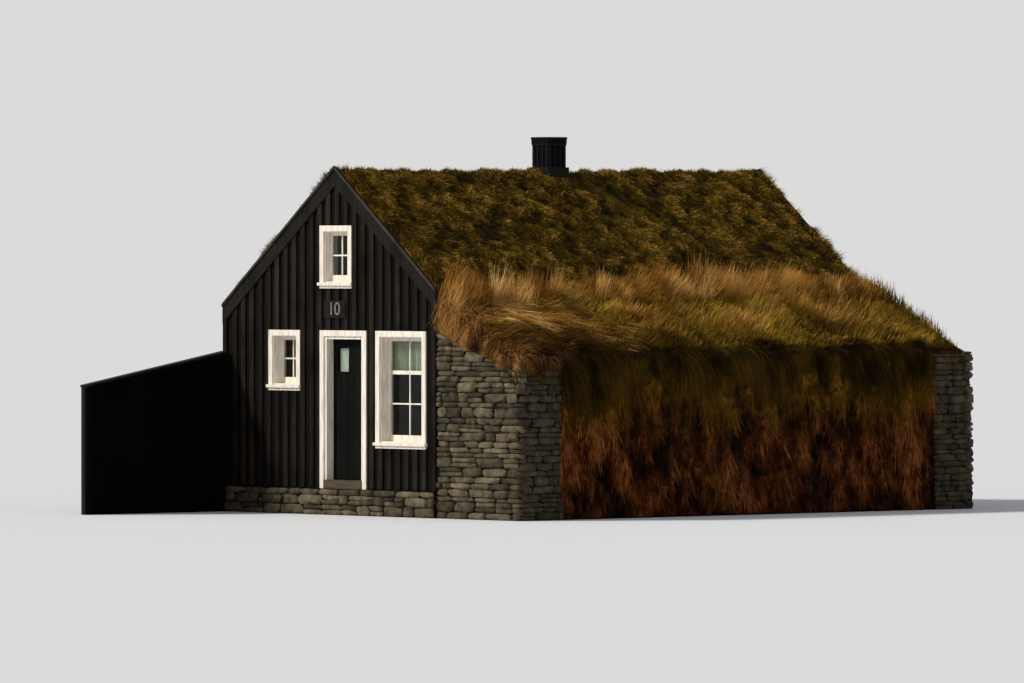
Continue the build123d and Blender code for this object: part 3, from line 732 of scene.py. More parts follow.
def growth(name, stops, patch, own, root=None, hollow=None, above=None, moss=None):
    """Turf or grass, whose tone and patches of two sizes pick its colour from the stops.

    root is how dark a blade is at its foot: painted shade. hollow is the (scale, depth) of small
    hollows in the ground, whose colour is darkened as painted shade while the tops between them
    get a painted highlight. above is (stops, low, high): colours that take over between two
    heights. moss is (share, from, to): how much greener the broadest patches get between two
    places along Y.
    """
    f = Finish(name, roughness=0.9, specular=0.04)
    tone, way = f.tone_and_way()
    broad = f.spread(f.noise(patch, 3.0))
    fine = f.spread(f.noise(3.3 * patch, 3.0))
    patches = f.math("ADD", f.math("MULTIPLY", broad, 0.55), f.math("MULTIPLY", fine, 0.45))
    value = f.math("ADD", f.math("MULTIPLY", tone, own), f.math("MULTIPLY", patches, 1 - own))
    colour = f.ramp(value, stops)
    if above:
        top_stops, low, high = above
        height = f.math("ADD", f.axes()[2], f.math("MULTIPLY", f.noise(2.2, 4.0), 1.6))
        colour = f.mix(f.spread(height, low + 0.8, high + 0.8), colour, f.ramp(value, top_stops))
    if moss:
        most, start, end = moss
        share = f.math("MULTIPLY", f.spread(f.noise(0.8, 4.0), 0.32, 0.56), most)
        share = f.math("MULTIPLY", share, f.spread(f.axes()[1], start, end))
        colour = f.mix(share, colour, f.mix(1.0, colour, MOSS, "MULTIPLY"))
    if root is not None:
        fade = f.ramp(way, [(0.0, grey(root)), (0.6, grey(1.0))])
        colour = f.mix(1.0, colour, fade, "MULTIPLY")
    if hollow is None:
        return f.close(colour)
    scale, depth = hollow
    pits = f.noise(scale, 5.0, roughness=0.65)
    # Painted shade and highlight: the colour is darkened to a quarter in this noise's hollows and
    # lifted up to half again on its tops.
    shade = f.ramp(pits, [(0.36, grey(0.25)), (0.5, grey(0.9)), (0.7, (1.5, 1.45, 1.25, 1))])
    return f.close(f.mix(1.0, colour, shade, "MULTIPLY"), pits, 1.0, depth)


ROOF_MOSS = (0.2, -2.0, -1.0)
OLIVE_BAND = ([(0.15, (32, 21, 4)), (0.5, (80, 54, 9)), (0.85, (116, 82, 19))], 1.2, 1.85)
roof_ground = growth("roof_turf", [
    (0.12, (22, 14, 4)), (0.4, (64, 46, 12)), (0.62, (86, 68, 19)), (0.88, (128, 96, 38))],
    patch=3.6, own=0.55, hollow=(11.0, 0.05), moss=ROOF_MOSS)
roof_grass = growth("roof_grass", [
    (0.12, (28, 19, 6)), (0.38, (84, 61, 16)), (0.6, (122, 94, 27)), (0.85, (190, 142, 66))],
    patch=3.6, own=0.6, root=0.3, moss=ROOF_MOSS)
bank_ground = growth("bank_turf", [
    (0.15, (40, 24, 8)), (0.5, (82, 58, 20)), (0.8, (104, 88, 30))],
    patch=0.8, own=0.4, hollow=(9.0, 0.06), moss=(0.6, 0.6, 2.4))
fringe_grass = growth("straw_fringe", [
    (0.15, (80, 50, 16)), (0.42, (150, 102, 42)), (0.66, (212, 156, 78)), (0.88, (244, 200, 128))],
    patch=0.8, own=0.6, root=0.4)
bank_grass = growth("bank_grass", [
    (0.12, (60, 36, 13)), (0.36, (118, 82, 30)), (0.58, (162, 112, 47)), (0.85, (230, 166, 92))],
    patch=0.7, own=0.66, root=0.4, moss=(1.0, 0.6, 2.4))
# Very dark olive: the grass's own colour, darkened further as painted shade for the lip under the
# overhang.
lip_grass_painted_shade = growth("lip_grass_painted_shade", [
    (0.15, (16, 11, 2)), (0.45, (46, 34, 7)), (0.8, (96, 70, 20))],
    patch=1.1, own=0.6, root=0.6)
front_grass = growth("rust_grass", [
    (0.1, (28, 16, 9)), (0.34, (78, 50, 30)), (0.62, (146, 100, 52)), (0.85, (196, 142, 80))],
    patch=1.2, own=0.7, root=0.4)
side_ground = growth("side_turf", [
    (0.15, (12, 5, 2)), (0.5, (54, 25, 9)), (0.85, (90, 48, 20))],
    patch=3.0, own=0.7, hollow=(9.0, 0.05), above=OLIVE_BAND)
root_strands = growth("root_strands", [
    (0.15, (22, 10, 4)), (0.42, (70, 34, 12)), (0.62, (114, 61, 26)), (0.86, (166, 104, 54))],
    patch=3.0, own=0.6, root=0.6, above=OLIVE_BAND)
print("finishes:", len(bpy.data.materials))

# %% [markdown]
# ## Finishes on the construction
#
# Nodes whose shape is already right keep their mesh and only get a finish. The turf nodes
# get one too, although new pieces stand for them further on.

# %% Dress the nodes
DRESS = {
    # The flat wall layers under the cover boards take the darker recess finish: painted shade between
    # the boards.
    recess_shade_finish: "front_wall_left front_wall_right front_gable_wall rear_wall rear_gable_wall",
    plank_finish: "party_wall valley_kerb",
    side_plank_finish: "side_wall",
    barge_finish: "barge_boards chimney_kerb",
    flue_finish: "chimney_stack chimney_cap",
    leaf_finish: "door_leaf",
    screen_shade_finish: "screen_boards",
    post_finish: "screen_posts screen_rails",
    white_finish: "door_casing door_frame front_window_casings front_window_frames "
                  "rear_window_casings rear_window_frames",
    timber_finish: "ground_floor loft_rails loft_joists loft_floor rafters ridge_board "
                   "roof_deck chimney_trimmers",
    sill_finish: "door_threshold",
    glass_finish: "door_glass front_window_glass rear_window_glass",
    iron_finish: "door_straps door_pintles door_handle",
    joint_finish: "front_plinth rear_plinth side_plinths bank_front_stone bank_rear_stone",
    side_ground: "bank_core bank_side_turf",
    roof_ground: "roof_turf_left roof_turf_right",
    bank_ground: "bank_top_turf",
}
for finish, names in DRESS.items():
    for name in names.split():
        nodes[name].data.materials.clear()
        nodes[name].data.materials.append(finish)
print("dressed", sum(len(names.split()) for names in DRESS.values()), "of", len(nodes), "nodes")

# %% [markdown]
# ## Cladding
#
# The gables carry two layers of boards: a flat layer, which is the wall's own face, and
# cover boards over its joints. Each cover board could be cut with a boolean where a casing
# crosses it, but a carpenter's way is simpler: it is laid as separate lengths, below,
# beside and above the opening, and each top is sawn to the roof's slope.

# %% Cover boards
BOARD_PITCH = 0.2
BOARD_WIDTH = 0.1
BOARD_THICK = 0.026
BOARD_LEAST = 0.02
FOOT_GAP = 0.01
CORNER_GAP = 0.05
CORNER_WIDTH = 0.09
CORNER_THICK = 0.036


def outline_of(points):
    """A casing's x and z ranges, its width taken at its head, where no sill stands out."""
    head = points[points[:, 2] > points[:, 2].max() - 0.01]
    return head[:, 0].min(), head[:, 0].max(), points[:, 2].min(), points[:, 2].max()


def cover_boards(x_from, x_to, bottom, holes):
    """Ranges (x0, x1, z0, z1) of boards between two x, cut round the holes they meet."""
    count = int((x_to - x_from + BOARD_PITCH - BOARD_WIDTH) / BOARD_PITCH)
    start = (x_from + x_to - (count - 1) * BOARD_PITCH - BOARD_WIDTH) / 2
    pieces = []
    for x0 in start + BOARD_PITCH * np.arange(count):
        x1 = x0 + BOARD_WIDTH
        top = float(max(roof_z(x0), roof_z(x1), RIDGE_Z if x0 < 0 < x1 else 0))
        met = sorted((h for h in holes if h[0] < x1 and h[1] > x0), key=lambda h: h[2])
        z = bottom
        for left, right, low, high in met:
            pieces.append((x0, x1, z, low))
            pieces.append((x0, left, low, high))
            pieces.append((right, x1, low, high))
            z = high
        pieces.append((x0, x1, z, top))
    pieces = np.array(pieces)
    wide = (pieces[:, 1] - pieces[:, 0] > BOARD_LEAST) & (pieces[:, 3] - pieces[:, 2] > BOARD_LEAST)
    return pieces[wide]


def clad(name, face, outward, holes, seed):
    """Cover and corner boards on a gable's face; a point's z is capped at the barge's edge."""
    inner = (PARTY_X + CORNER_WIDTH, SIDE_X - CORNER_WIDTH)
    foot = WALL_FOOT + FOOT_GAP
    spans = cover_boards(inner[0] + CORNER_GAP, inner[1] - CORNER_GAP, foot, holes)
    corners = np.array([(PARTY_X, inner[0], foot, RIDGE_Z), (inner[1], SIDE_X, foot, RIDGE_Z)])
    rng = np.random.default_rng(seed)
    proud = np.concatenate([
        BOARD_THICK + rng.uniform(-0.004, 0.003, len(spans)), [CORNER_THICK] * 2])
    spans = np.concatenate([spans, corners])
    ends = np.sort(np.stack([np.full(len(spans), face), face + outward * proud], 1), axis=1)
    shape = boxes(np.stack([spans[:, 0], ends[:, 0], spans[:, 2]], 1),
                  np.stack([spans[:, 1], ends[:, 1], spans[:, 3]], 1))
    shape[:, :, 2] = np.minimum(shape[:, :, 2], roof_z(shape[:, :, 0]) - BARGE_UNDER)
    return board_piece(name, shape, board_finish, seed)


front_holes = [outline_of(part) for part in loose_parts("front_window_casings")]
front_holes.append(outline_of(points_of("door_casing")))
rear_holes = [outline_of(part) for part in loose_parts("rear_window_casings")]
clad("front_cover_boards", 0.0, -1, front_holes, 11)
clad("rear_cover_boards", REAR_Y, 1, rear_holes, 12)

# %% [markdown]
# A slim moulding is nailed along the upper edge of each barge board. Its pale grey colour is a
# painted highlight: the bright line where the barge's top edge catches the light. It runs in the
# roof's slope, so it is laid out in two directions, down the slope and square to it. At the
# ridge the two meet in a mitre: a point h above the surface starts where x is 0, which is h
# times the slope back up.

# %% Barge mouldings
STRIP_DEEP = (-0.022, 0.018)
STRIP_THICK = 0.022
barge_low, barge_high = low_high("barge_boards")


def slope_strip(sign, deep, y, reach):
    """Corners of a strip down one slope: ridge + s down + h up, mitred at the ridge."""
    u, v, w = UNIT_BOX[:, 0], UNIT_BOX[:, 1], UNIT_BOX[:, 2]
    h = deep[0] + w * (deep[1] - deep[0])
    first = -h * math.tan(PITCH)
    last = (reach - h * math.sin(PITCH)) / math.cos(PITCH)
    s = first + u * (last - first)
    x = s * math.cos(PITCH) + h * math.sin(PITCH)
    z = RIDGE_Z - s * math.sin(PITCH) + h * math.cos(PITCH)
    return np.stack([sign * x, y[0] + v * (y[1] - y[0]), z], 1)


def mirrored(corners):
    """The same box with its corners swapped left to right, so its faces still point out."""
    return corners[[1, 0, 3, 2, 5, 4, 7, 6]]


strips = []
for y in ((barge_low[1] - STRIP_THICK, barge_low[1]), (barge_high[1], barge_high[1] + STRIP_THICK)):
    strips.append(slope_strip(1, STRIP_DEEP, y, SIDE_X))
    strips.append(mirrored(slope_strip(-1, STRIP_DEEP, y, -PARTY_X)))
board_piece("barge_mouldings", np.array(strips), strip_highlight_finish, 13)

# %% [markdown]
# A small plate over the door carries the house's number. Its digits are a text object that
# is made a mesh, and turned to stand on the front before it is placed.

# %% Number plate
PLATE_SIZE = np.array([0.5, 0.018, 0.27])
DIGIT_HEIGHT = 0.2
DIGIT_DEEP = 0.004
HEIGHT_SHARE = 0.7
casing_top = low_high("door_casing")[1][2]
over_door = [hole for hole in front_holes if hole[2] > casing_top]
plate_x = float(np.mean([hole[:2] for hole in over_door]))
plate_z = (casing_top + min(hole[2] for hole in over_door)) / 2
plate_low = np.array([plate_x, -BOARD_THICK, plate_z]) - PLATE_SIZE * (0.5, 1, 0.5)
board_piece("number_plate", boxes(plate_low, plate_low + PLATE_SIZE), barge_finish, 14)

text = bpy.data.curves.new("digits", "FONT")
text.body = "10"
text.size = DIGIT_HEIGHT / HEIGHT_SHARE
text.extrude = DIGIT_DEEP
text.align_x = "CENTER"
text.align_y = "CENTER"
text_object = placed("digits", text)
view_layer = bpy.context.evaluated_depsgraph_get()
digits_mesh = bpy.data.meshes.new_from_object(text_object.evaluated_get(view_layer))
bpy.data.objects.remove(text_object)
digits_mesh.transform(Matrix.Translation((plate_x, plate_low[1] - CLEAR, plate_z))
                      @ Matrix.Rotation(math.radians(90), 4, "X"))
digits_mesh.materials.clear()
digits_mesh.materials.append(digit_finish)
digits = placed("number_digits", digits_mesh)
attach(digits, "house")
print("number plate at", round(plate_x, 3), round(plate_z, 3))

# %% [markdown]
# ## Window bars
#
# Each sash is divided by slender bars that hold the panes. They are read off the glass: the
# upright runs at half its width, and the level ones at equal parts of its height. The tall
# window has a heavier transom under its top row.

# %% Bars
BAR_WIDE = 0.024
BAR_DEEP = 0.009
TRANSOM_WIDE = 0.06
TALL_ROWS = 3
BAR_LAP = 0.002


def bar_boxes(glass):
    """Low and high corners of one window's bars, from its glass's points."""
    low, high = glass.min(0), glass.max(0)
    rows = TALL_ROWS if high[2] - low[2] > 1.5 * (high[0] - low[0]) else 2
    near, far = low[1] - BAR_DEEP, high[1] + BAR_DEEP
    middle = (low[0] + high[0]) / 2
    found = [((middle - BAR_WIDE / 2, near, low[2]), (middle + BAR_WIDE / 2, far, high[2]))]
    for row in range(1, rows):
        z = low[2] + (high[2] - low[2]) * row / rows
        half = (TRANSOM_WIDE if rows == TALL_ROWS and row == rows - 1 else BAR_WIDE) / 2
        found.append(((low[0], near - BAR_LAP, z - half), (high[0], far + BAR_LAP, z + half)))
    return found


for gable in ("front", "rear"):
    pairs = [pair for glass in loose_parts(f"{gable}_window_glass") for pair in bar_boxes(glass)]
    board_piece(f"{gable}_window_bars", paired_boxes(pairs), white_finish, 21,
                bevel=0.003)

# %% [markdown]
# A short net curtain hangs behind the tall window's top panes. Cloth gathered on a rod makes
# even folds, which a sine along its width gives, deeper towards its free lower edge. The
# length of the wavy line is the width that the cloth was cut to.

# %% Short curtain
CURTAIN_FOLDS = 11
CURTAIN_DEPTH = 0.012
CURTAIN_BEHIND = 0.05
CURTAIN_OVER = 0.03


def curtain(name, x, z, y, folds, depth, columns, rows, body, cloth):
    """Hung cloth: y plus depth (0.4 + 0.6 down) sin(2 pi folds u), on a grid of u and down."""
    u, down = np.meshgrid(np.linspace(0, 1, columns), np.linspace(0, 1, rows))
    wave = np.sin(2 * np.pi * folds * u + 0.6 * np.sin(2 * np.pi * u))
    across = x[0] + u * (x[1] - x[0])
    points = np.stack([across, y + depth * (0.4 + 0.6 * down) * wave, z[1] - down * (z[1] - z[0])], -1)
    index = np.arange(columns * rows).reshape(rows, columns)
    cells = np.stack([index[1:, :-1], index[1:, 1:], index[:-1, 1:], index[:-1, :-1]], -1)
    steps = np.linalg.norm(np.diff(points, axis=1), axis=2).sum(1)
    flat = np.stack([u.ravel(), down.ravel()], 1)
    piece = new_piece(name, points.reshape(-1, 3), [cells.reshape(-1, 4)], cloth,
                      flat, body, smooth=True)
    return piece, float(steps.mean())


tall_glass = max(loose_parts("front_window_glass"), key=lambda part: np.ptp(part[:, 2]))
glass_low, glass_high = tall_glass.min(0), tall_glass.max(0)
curtain_z = (glass_high[2] - (glass_high[2] - glass_low[2]) / TALL_ROWS, glass_high[2])
curtain_y = glass_high[1] + CURTAIN_BEHIND
net, net_width = curtain("net_curtain", (glass_low[0] - CURTAIN_OVER, glass_high[0] + CURTAIN_OVER),
                         curtain_z, curtain_y, CURTAIN_FOLDS, CURTAIN_DEPTH, 133, 9, "house",
                         cloth_finish)
ROD = 0.005
rod = boxes((glass_low[0] - 0.05, curtain_y - ROD, curtain_z[1] - ROD),
            (glass_high[0] + 0.05, curtain_y + ROD, curtain_z[1] + ROD))
board_piece("curtain_rod", rod, iron_finish, 22, bevel=0.002)

# %% [markdown]
# ## Door
#
# The leaf is boarded upright, with a thin groove at each joint, and three ledges hold the
# boards together inside. The boards stand a few millimetres proud of the leaf and stay
# inside the frame's stops, so the door still swings free. Slim beads hold its small light.

# %% Leaf boards, ledges and beads
LEAF_BOARDS = 5
LEAF_PROUD = 0.007
LEAF_EDGE = 0.0145
LEAF_GROOVE = 0.006
LEDGE_DEEP = 0.02
LEDGE_HALF = 0.05
BEAD = 0.022
NET_OVER = 0.012
leaf_low, leaf_high = low_high("door_leaf")
light_low, light_high = low_high("door_glass")
knob_top = low_high("door_handle")[1][2]
straps = [(part.min(0), part.max(0)) for part in loose_parts("door_straps")]
edges = np.linspace(leaf_low[0] + LEAF_EDGE, leaf_high[0] - LEAF_EDGE, LEAF_BOARDS + 1)
front = (leaf_low[1] - LEAF_PROUD, leaf_low[1])
foot, head = leaf_low[2] + 0.004, leaf_high[2] - 0.02
hole_low, hole_high = light_low - BEAD, light_high + BEAD
spans = []
for x0, x1 in zip(edges[:-1] + LEAF_GROOVE / 2, edges[1:] - LEAF_GROOVE / 2):
    if x1 < light_low[0] or x0 > light_high[0]:
        spans.append((x0, x1, foot, head))
        continue
    spans.append((x0, x1, foot, hole_low[2]))
    spans.append((x0, x1, hole_high[2], head))
    beside = ((x0, min(x1, hole_low[0])), (max(x0, hole_high[0]), x1))
    spans += [(start, end, hole_low[2], hole_high[2]) for start, end in beside if end - start > 0.01]
corners = boxes([(x0, front[0], z0) for x0, _, z0, _ in spans],
                [(x1, front[1], z1) for _, x1, _, z1 in spans])
board_piece("door_boards", corners, door_finish, 31, "door", bevel=0.002)
beads = ring(light_low[[0, 2]], light_high[[0, 2]], BEAD, (front[0] + 0.001, front[1]), 1)
board_piece("door_light_beads", beads, door_finish, 32, "door", bevel=0.002)
ledge_x = (straps[0][0][0] + 0.06, leaf_high[0] - 0.05)
ledge_zs = [leaf_low[2] + 0.12, (knob_top + straps[-1][0][2]) / 2 - 0.06, leaf_high[2] - 0.1]
ledges = boxes([(ledge_x[0], leaf_high[1], z - LEDGE_HALF) for z in ledge_zs],
               [(ledge_x[1], leaf_high[1] + LEDGE_DEEP, z + LEDGE_HALF) for z in ledge_zs])
board_piece("door_ledges", ledges, door_finish, 33, "door")

BOLT = 0.009
BOLTS = 3
bolt_middles = np.array([
    (low[0] + (high[0] - low[0]) * (step + 0.5) / BOLTS, high[1], (low[2] + high[2]) / 2)
    for low, high in straps for step in range(BOLTS)])
bolt_half = np.tile([BOLT, BOLT, BOLT * 0.6], (len(bolt_middles), 1))
points, faces, uv = blocks(bolt_middles, bolt_half, np.array([-1.0, 0, 0]), np.array([0, 1.0, 0]), 34,
                           power=2.5, rough=0.0)
new_piece("strap_bolts", points, [faces], iron_finish, uv, "door", smooth=True)
door_net, door_net_width = curtain(
    "door_light_net", (light_low[0] - NET_OVER, light_high[0] + NET_OVER),
    (light_low[2] - NET_OVER, light_high[2] + NET_OVER), leaf_high[1] + 0.004, 5, 0.003, 61, 5,
    "door", door_cloth_finish)

# %% [markdown]
# ## Chimney
#
# The chimney is a boarded shaft. Strips cover its boards' joints, wider ones its corners,
# and a slim moulding runs under the cap.

# %% Strips and moulding
CHIMNEY_THICK = 0.012
CHIMNEY_CORNER = 0.05
CHIMNEY_STRIP = 0.03
stack_low, stack_high = low_high("chimney_stack")
kerb_corner = low_high("chimney_kerb")[1]
cap_low, cap_high = low_high("chimney_cap")
half = (stack_high[0] - stack_low[0]) / 2
shaft_y = (stack_low[1] + stack_high[1]) / 2
strips = [
    (-half, CHIMNEY_CORNER), (-half / 3 - CHIMNEY_STRIP / 2, CHIMNEY_STRIP),
    (half / 3 - CHIMNEY_STRIP / 2, CHIMNEY_STRIP), (half - CHIMNEY_CORNER, CHIMNEY_CORNER),
]
pairs = []
for start, wide in strips:
    for face in ((-half - CHIMNEY_THICK, -half), (half, half + CHIMNEY_THICK)):
        pairs.append(((start, shaft_y + face[0], kerb_corner[2]),
                      (start + wide, shaft_y + face[1], cap_low[2])))
        pairs.append(((face[0], shaft_y + start, kerb_corner[2]),
                      (face[1], shaft_y + start + wide, cap_low[2])))
board_piece("chimney_strips", paired_boxes(pairs), chimney_finish, 41, bevel=0.003)

cap_half = (cap_high[0] - cap_low[0]) / 2
mouldings = (
    (half, cap_half - 0.002, (cap_low[2] - 0.03, cap_low[2])),
    (cap_half, cap_half + 0.008, (cap_high[2] - 0.035, cap_high[2] - 0.005)),
)
rings = np.concatenate([
    ring((-inner, shaft_y - inner), (inner, shaft_y + inner), outer - inner, span, 2)
    for inner, outer, span in mouldings])
board_piece("chimney_mouldings", rings, chimney_finish, 42, bevel=0.003)

# %% [markdown]
# ## Screen
#
# A timber screen stands on the party line. Its face is upright boards, and a sloping rail
# caps them. The top line falls evenly, so each board's top corners are put on that line.

# %% Boards and cap
SCREEN_BOARD = 0.15
SCREEN_GAP = 0.008
SCREEN_PROUD = 0.014
CAP_THICK = 0.035
CAP_OVER = 0.03
CAP_END = 0.02
screen_low, screen_high = low_high("screen_boards")
posts_low = low_high("screen_posts")[0]
screen_points = points_of("screen_boards")
far_end = screen_points[screen_points[:, 1] > screen_high[1] - 0.01][:, 2].max()
near_end = screen_points[screen_points[:, 1] < screen_low[1] + 0.01][:, 2].max()
SCREEN_FALL = (far_end - near_end) / (screen_high[1] - screen_low[1])


def screen_z(y):
    """Height of the screen's top at y, on the line between its two ends."""
    return near_end + SCREEN_FALL * (y - screen_low[1])


count = int(round((screen_high[1] - screen_low[1]) / SCREEN_BOARD))
joints = np.linspace(screen_low[1], screen_high[1], count + 1)
low = np.stack([np.full(count, screen_high[0]), joints[:-1] + SCREEN_GAP / 2, np.full(count, 0.02)], 1)
high = np.stack([low[:, 0] + SCREEN_PROUD, joints[1:] - SCREEN_GAP / 2, np.full(count, FAR)], 1)
corners = boxes(low, high)
corners[:, :, 2] = np.minimum(corners[:, :, 2], screen_z(corners[:, :, 1]))
# These boards carry the near-black finish: black tar plus painted shade.
board_piece("screen_face_boards", corners, screen_shade_finish, 51)
cap = boxes((posts_low[0], screen_low[1] - CAP_END, 0), (screen_high[0] + CAP_OVER, screen_high[1], 1))
cap[:, :, 2] = screen_z(cap[:, :, 1]) + CAP_THICK * cap[:, :, 2]
board_piece("screen_cap", cap, post_finish, 52)

# %% [markdown]
# ## Stone walls
#
# The bank's two ends and the plinths are dry-laid: flat stones in courses, thin ones packed
# between thick ones, each a little out of line. A displaced plane would melt them into one
# another, and a sculpted stone copied many times would repeat. So each stone is a rounded
# block with its own random shape. Their solid backing is the construction's own node, dark,
# and it shows as the joints.


# %% Lay courses
RUN_BACK = 0.3
LEAST_RUN = 0.07
LEAST_RISE = 0.03
SPLIT_OVER = 0.12
SPLIT_SHARE = 0.35


def courses(length, top_at, seed, rise, run=(0.2, 0.6)):
    """Stones of a wall: rows of (middle along, middle up, half length, half height).

    Each course takes a random rise and is filled with random runs from one end. Some places
    take two thin stones instead of one. A stone under the wall's top is cut down to fit it.
    """
    rng = np.random.default_rng(seed)
    laid = []
    z = 0.0
    highest = max(top_at(0.0), top_at(length))
    while z < highest:
        step = rng.uniform(*rise)
        start = -rng.uniform(0, RUN_BACK)
        while start < length:
            end = start + rng.uniform(*run)
            left, right = max(start, 0.0), min(end, length)
            over = min(z + step, top_at((left + right) / 2))
            if right - left > LEAST_RUN and over - z > LEAST_RISE:
                parts = 2 if over - z > SPLIT_OVER and rng.uniform() < SPLIT_SHARE else 1
                levels = np.linspace(z, over, parts + 1)
                for low, high in zip(levels[:-1], levels[1:]):
                    laid.append(((left + right) / 2, (low + high) / 2,
                                 (right - left) / 2, (high - low) / 2))
            start = end
        z += step
    return np.array(laid)


STONE_HALF_DEPTH = 0.08
STONE_PROUD = 0.035
STONE_SWELL = (1.01, 1.04)
# Share of the stone tones kept on the walls that face the side: painted shade for the bank's side away
# from the key light.
SHADED_SIDE_TONE = 0.3


def stone_wall(length, top_at, origin, along, seed, lean=0.0, light=1.0, rise=(0.07, 0.16)):
    """Rounded stones for one face: origin + u along + v up, set back by lean for each metre up.

    light is the share of the full tones that its stones get: a wall that faces away from the key light
    gets less, as painted shade.
    """
    laid = courses(length, top_at, seed, rise)
    along = np.array(along, float)
    outward = np.cross(along, UP)
    rng = np.random.default_rng(seed)
    back = rng.uniform(-0.018, 0.012, len(laid)) + STONE_PROUD - STONE_HALF_DEPTH
    back -= lean * laid[:, 1]
    middle = np.array(origin) + laid[:, 0:1] * along + laid[:, 1:2] * UP + back[:, None] * outward
    half = np.column_stack([laid[:, 2:] * STONE_SWELL, np.full(len(laid), STONE_HALF_DEPTH)])
    points, faces, uv = blocks(middle, half, along, outward, seed + 100)
    return points, faces, uv * (light, 1)


def stone_piece(name, walls):
    """Join several walls' stones into one piece, cut off at the party line and the floor."""
    points, faces, uvs = zip(*walls)
    starts = np.cumsum([0] + [len(part) for part in points[:-1]])
    faces = [part + start for part, start in zip(faces, starts)]
    points = np.maximum(np.concatenate(points), (PARTY_X, -FAR, 0))
    return new_piece(name, points, faces, stone_finish, np.concatenate(uvs), smooth=True)


# %% The bank's stone ends
front_stone = points_of("bank_front_stone")
rear_stone = points_of("bank_rear_stone")
BANK_FOOT_X = front_stone[:, 0].max()
BANK_FRONT = (front_stone[:, 1].min(), front_stone[:, 1].max())
BANK_REAR = (rear_stone[:, 1].min(), rear_stone[:, 1].max())
STONE_INNER_Z = front_stone[:, 2].max()
outer_top = front_stone[(front_stone[:, 0] > BANK_FOOT_X - 0.3) & (front_stone[:, 2] > 1.0)]
STONE_OUTER_X, STONE_OUTER_Z = outer_top[0, 0], outer_top[0, 2]
STONE_FALL = (STONE_INNER_Z - STONE_OUTER_Z) / (STONE_OUTER_X - SIDE_X)
BANK_LEAN = (BANK_FOOT_X - STONE_OUTER_X) / STONE_OUTER_Z
REAR_RISE = rear_stone[:, 2].max() - STONE_INNER_Z
bank_width = BANK_FOOT_X - SIDE_X
print(f"bank {bank_width:.2f} wide, leaning {BANK_LEAN:.3f}, stone top falls {STONE_FALL:.3f}")


def stone_top(x, rise=0.0):
    """Height of the stone's sloping top at x."""
    return STONE_INNER_Z + rise - STONE_FALL * (x - SIDE_X)


outer_rear_z = stone_top(STONE_OUTER_X, REAR_RISE)
stone_piece("bank_front_stones", [
    stone_wall(bank_width, lambda u: stone_top(SIDE_X + u), (SIDE_X, BANK_FRONT[0], 0), (1, 0, 0), 61),
    stone_wall(BANK_FRONT[1] - BANK_FRONT[0], lambda u: STONE_OUTER_Z,
               (BANK_FOOT_X, BANK_FRONT[0], 0), (0, 1, 0), 62, BANK_LEAN, SHADED_SIDE_TONE),
])
stone_piece("bank_rear_stones", [
    stone_wall(BANK_REAR[1] - BANK_REAR[0], lambda u: outer_rear_z,
               (BANK_FOOT_X, BANK_REAR[0], 0), (0, 1, 0), 63, BANK_LEAN, SHADED_SIDE_TONE),
    stone_wall(bank_width, lambda u: stone_top(BANK_FOOT_X - u, REAR_RISE),
               (BANK_FOOT_X, BANK_REAR[1], 0), (-1, 0, 0), 64),
    stone_wall(BANK_REAR[1] - REAR_Y, lambda u: STONE_INNER_Z + REAR_RISE,
               (SIDE_X, BANK_REAR[1], 0), (0, -1, 0), 65),
])

# %% Plinth stones
PLINTH_RISE = (0.1, 0.16)
plinth_top = plinth_high[2] - 0.01
corners = (
    ((PARTY_X, plinth_low[1], 0), (1, 0, 0), 66),
    ((SIDE_X, low_high("rear_plinth")[1][1], 0), (-1, 0, 0), 67),
)
stone_piece("plinth_stones", [
    stone_wall(SIDE_X - PARTY_X, lambda u: plinth_top, origin, along, seed, rise=PLINTH_RISE)
    for origin, along, seed in corners])

# %% [markdown]
# ## Roof turf
#
# The roof is covered in living turf about a hand and a half thick: not a flat slab but soft
# lumps, with a rounded ridge and edges. One shell stands for both slopes, so no seam runs
# along the ridge. The broad rises are the construction's own, read from the points on top of
# its turf and blended between them. Noise of two smaller sizes makes the lumps. The ground
# lies a little lower than the construction's surface, because that one takes in the short
# grass. Cells round the chimney are left out.

# %% Turf shell
ROOF_STEP = 0.05
RIDGE_ROUND = 0.1
RIDGE_KEPT = 0.96
EDGE_ROUND = 0.12
EDGE_SINK = 0.015
EAVE_ROUND = 0.15
EAVE_SINK = 0.03
GRASS_DEEP = 0.02
TOP_BAND = 0.1
RISE_REACH = 0.32
LUMP = 0.05
HOLE = (kerb_corner[0] + stack_high[0]) / 2


def turf_top(points, even_z):
    """Places (x, y) of the points on a turf's top, and their rises over its even surface."""
    points = np.unique(points.round(4), axis=0)
    rise = points[:, 2] - even_z(points)
    top = np.abs(rise) < TOP_BAND
    print(top.sum(), "points rise from", rise[top].min().round(3), "to", rise[top].max().round(3))
    return points[top, :2], rise[top]


both_slopes = np.concatenate([points_of("roof_turf_left"), points_of("roof_turf_right")])
ROOF_PLACES, ROOF_RISES = turf_top(both_slopes, lambda p: roof_z(p[:, 0]))


def roof_lumps(x, y):
    """Small lumps and hollows of the roof's turf."""
    return lumps(x, y, (0.23, 0.11), (0.03, 0.03), 71)


def relief_shade_tone(relief):
    """Tone from 0 in the deepest dip to 1 on the highest lump: painted shade in the hollows and a
    painted highlight on the lumps.
    """
    return np.clip(0.5 + 0.8 * relief / LUMP, 0, 1)


def toned_shell(name, top, bottom, finish, tone_at, keep=None):
    """A shell whose u is the tone at each point's x, y and z."""
    points, faces = shell(top, bottom, keep)
    tone = tone_at(*points.T)
    return new_piece(name, points, faces, finish, np.stack([tone, 0 * tone], 1), smooth=True)


def off_chimney(x, y, margin=0.0):
    """Whether a place is outside the chimney's hole and a margin round it."""
    return (np.abs(x) > HOLE + margin) | (np.abs(y - shaft_y) > HOLE + margin)


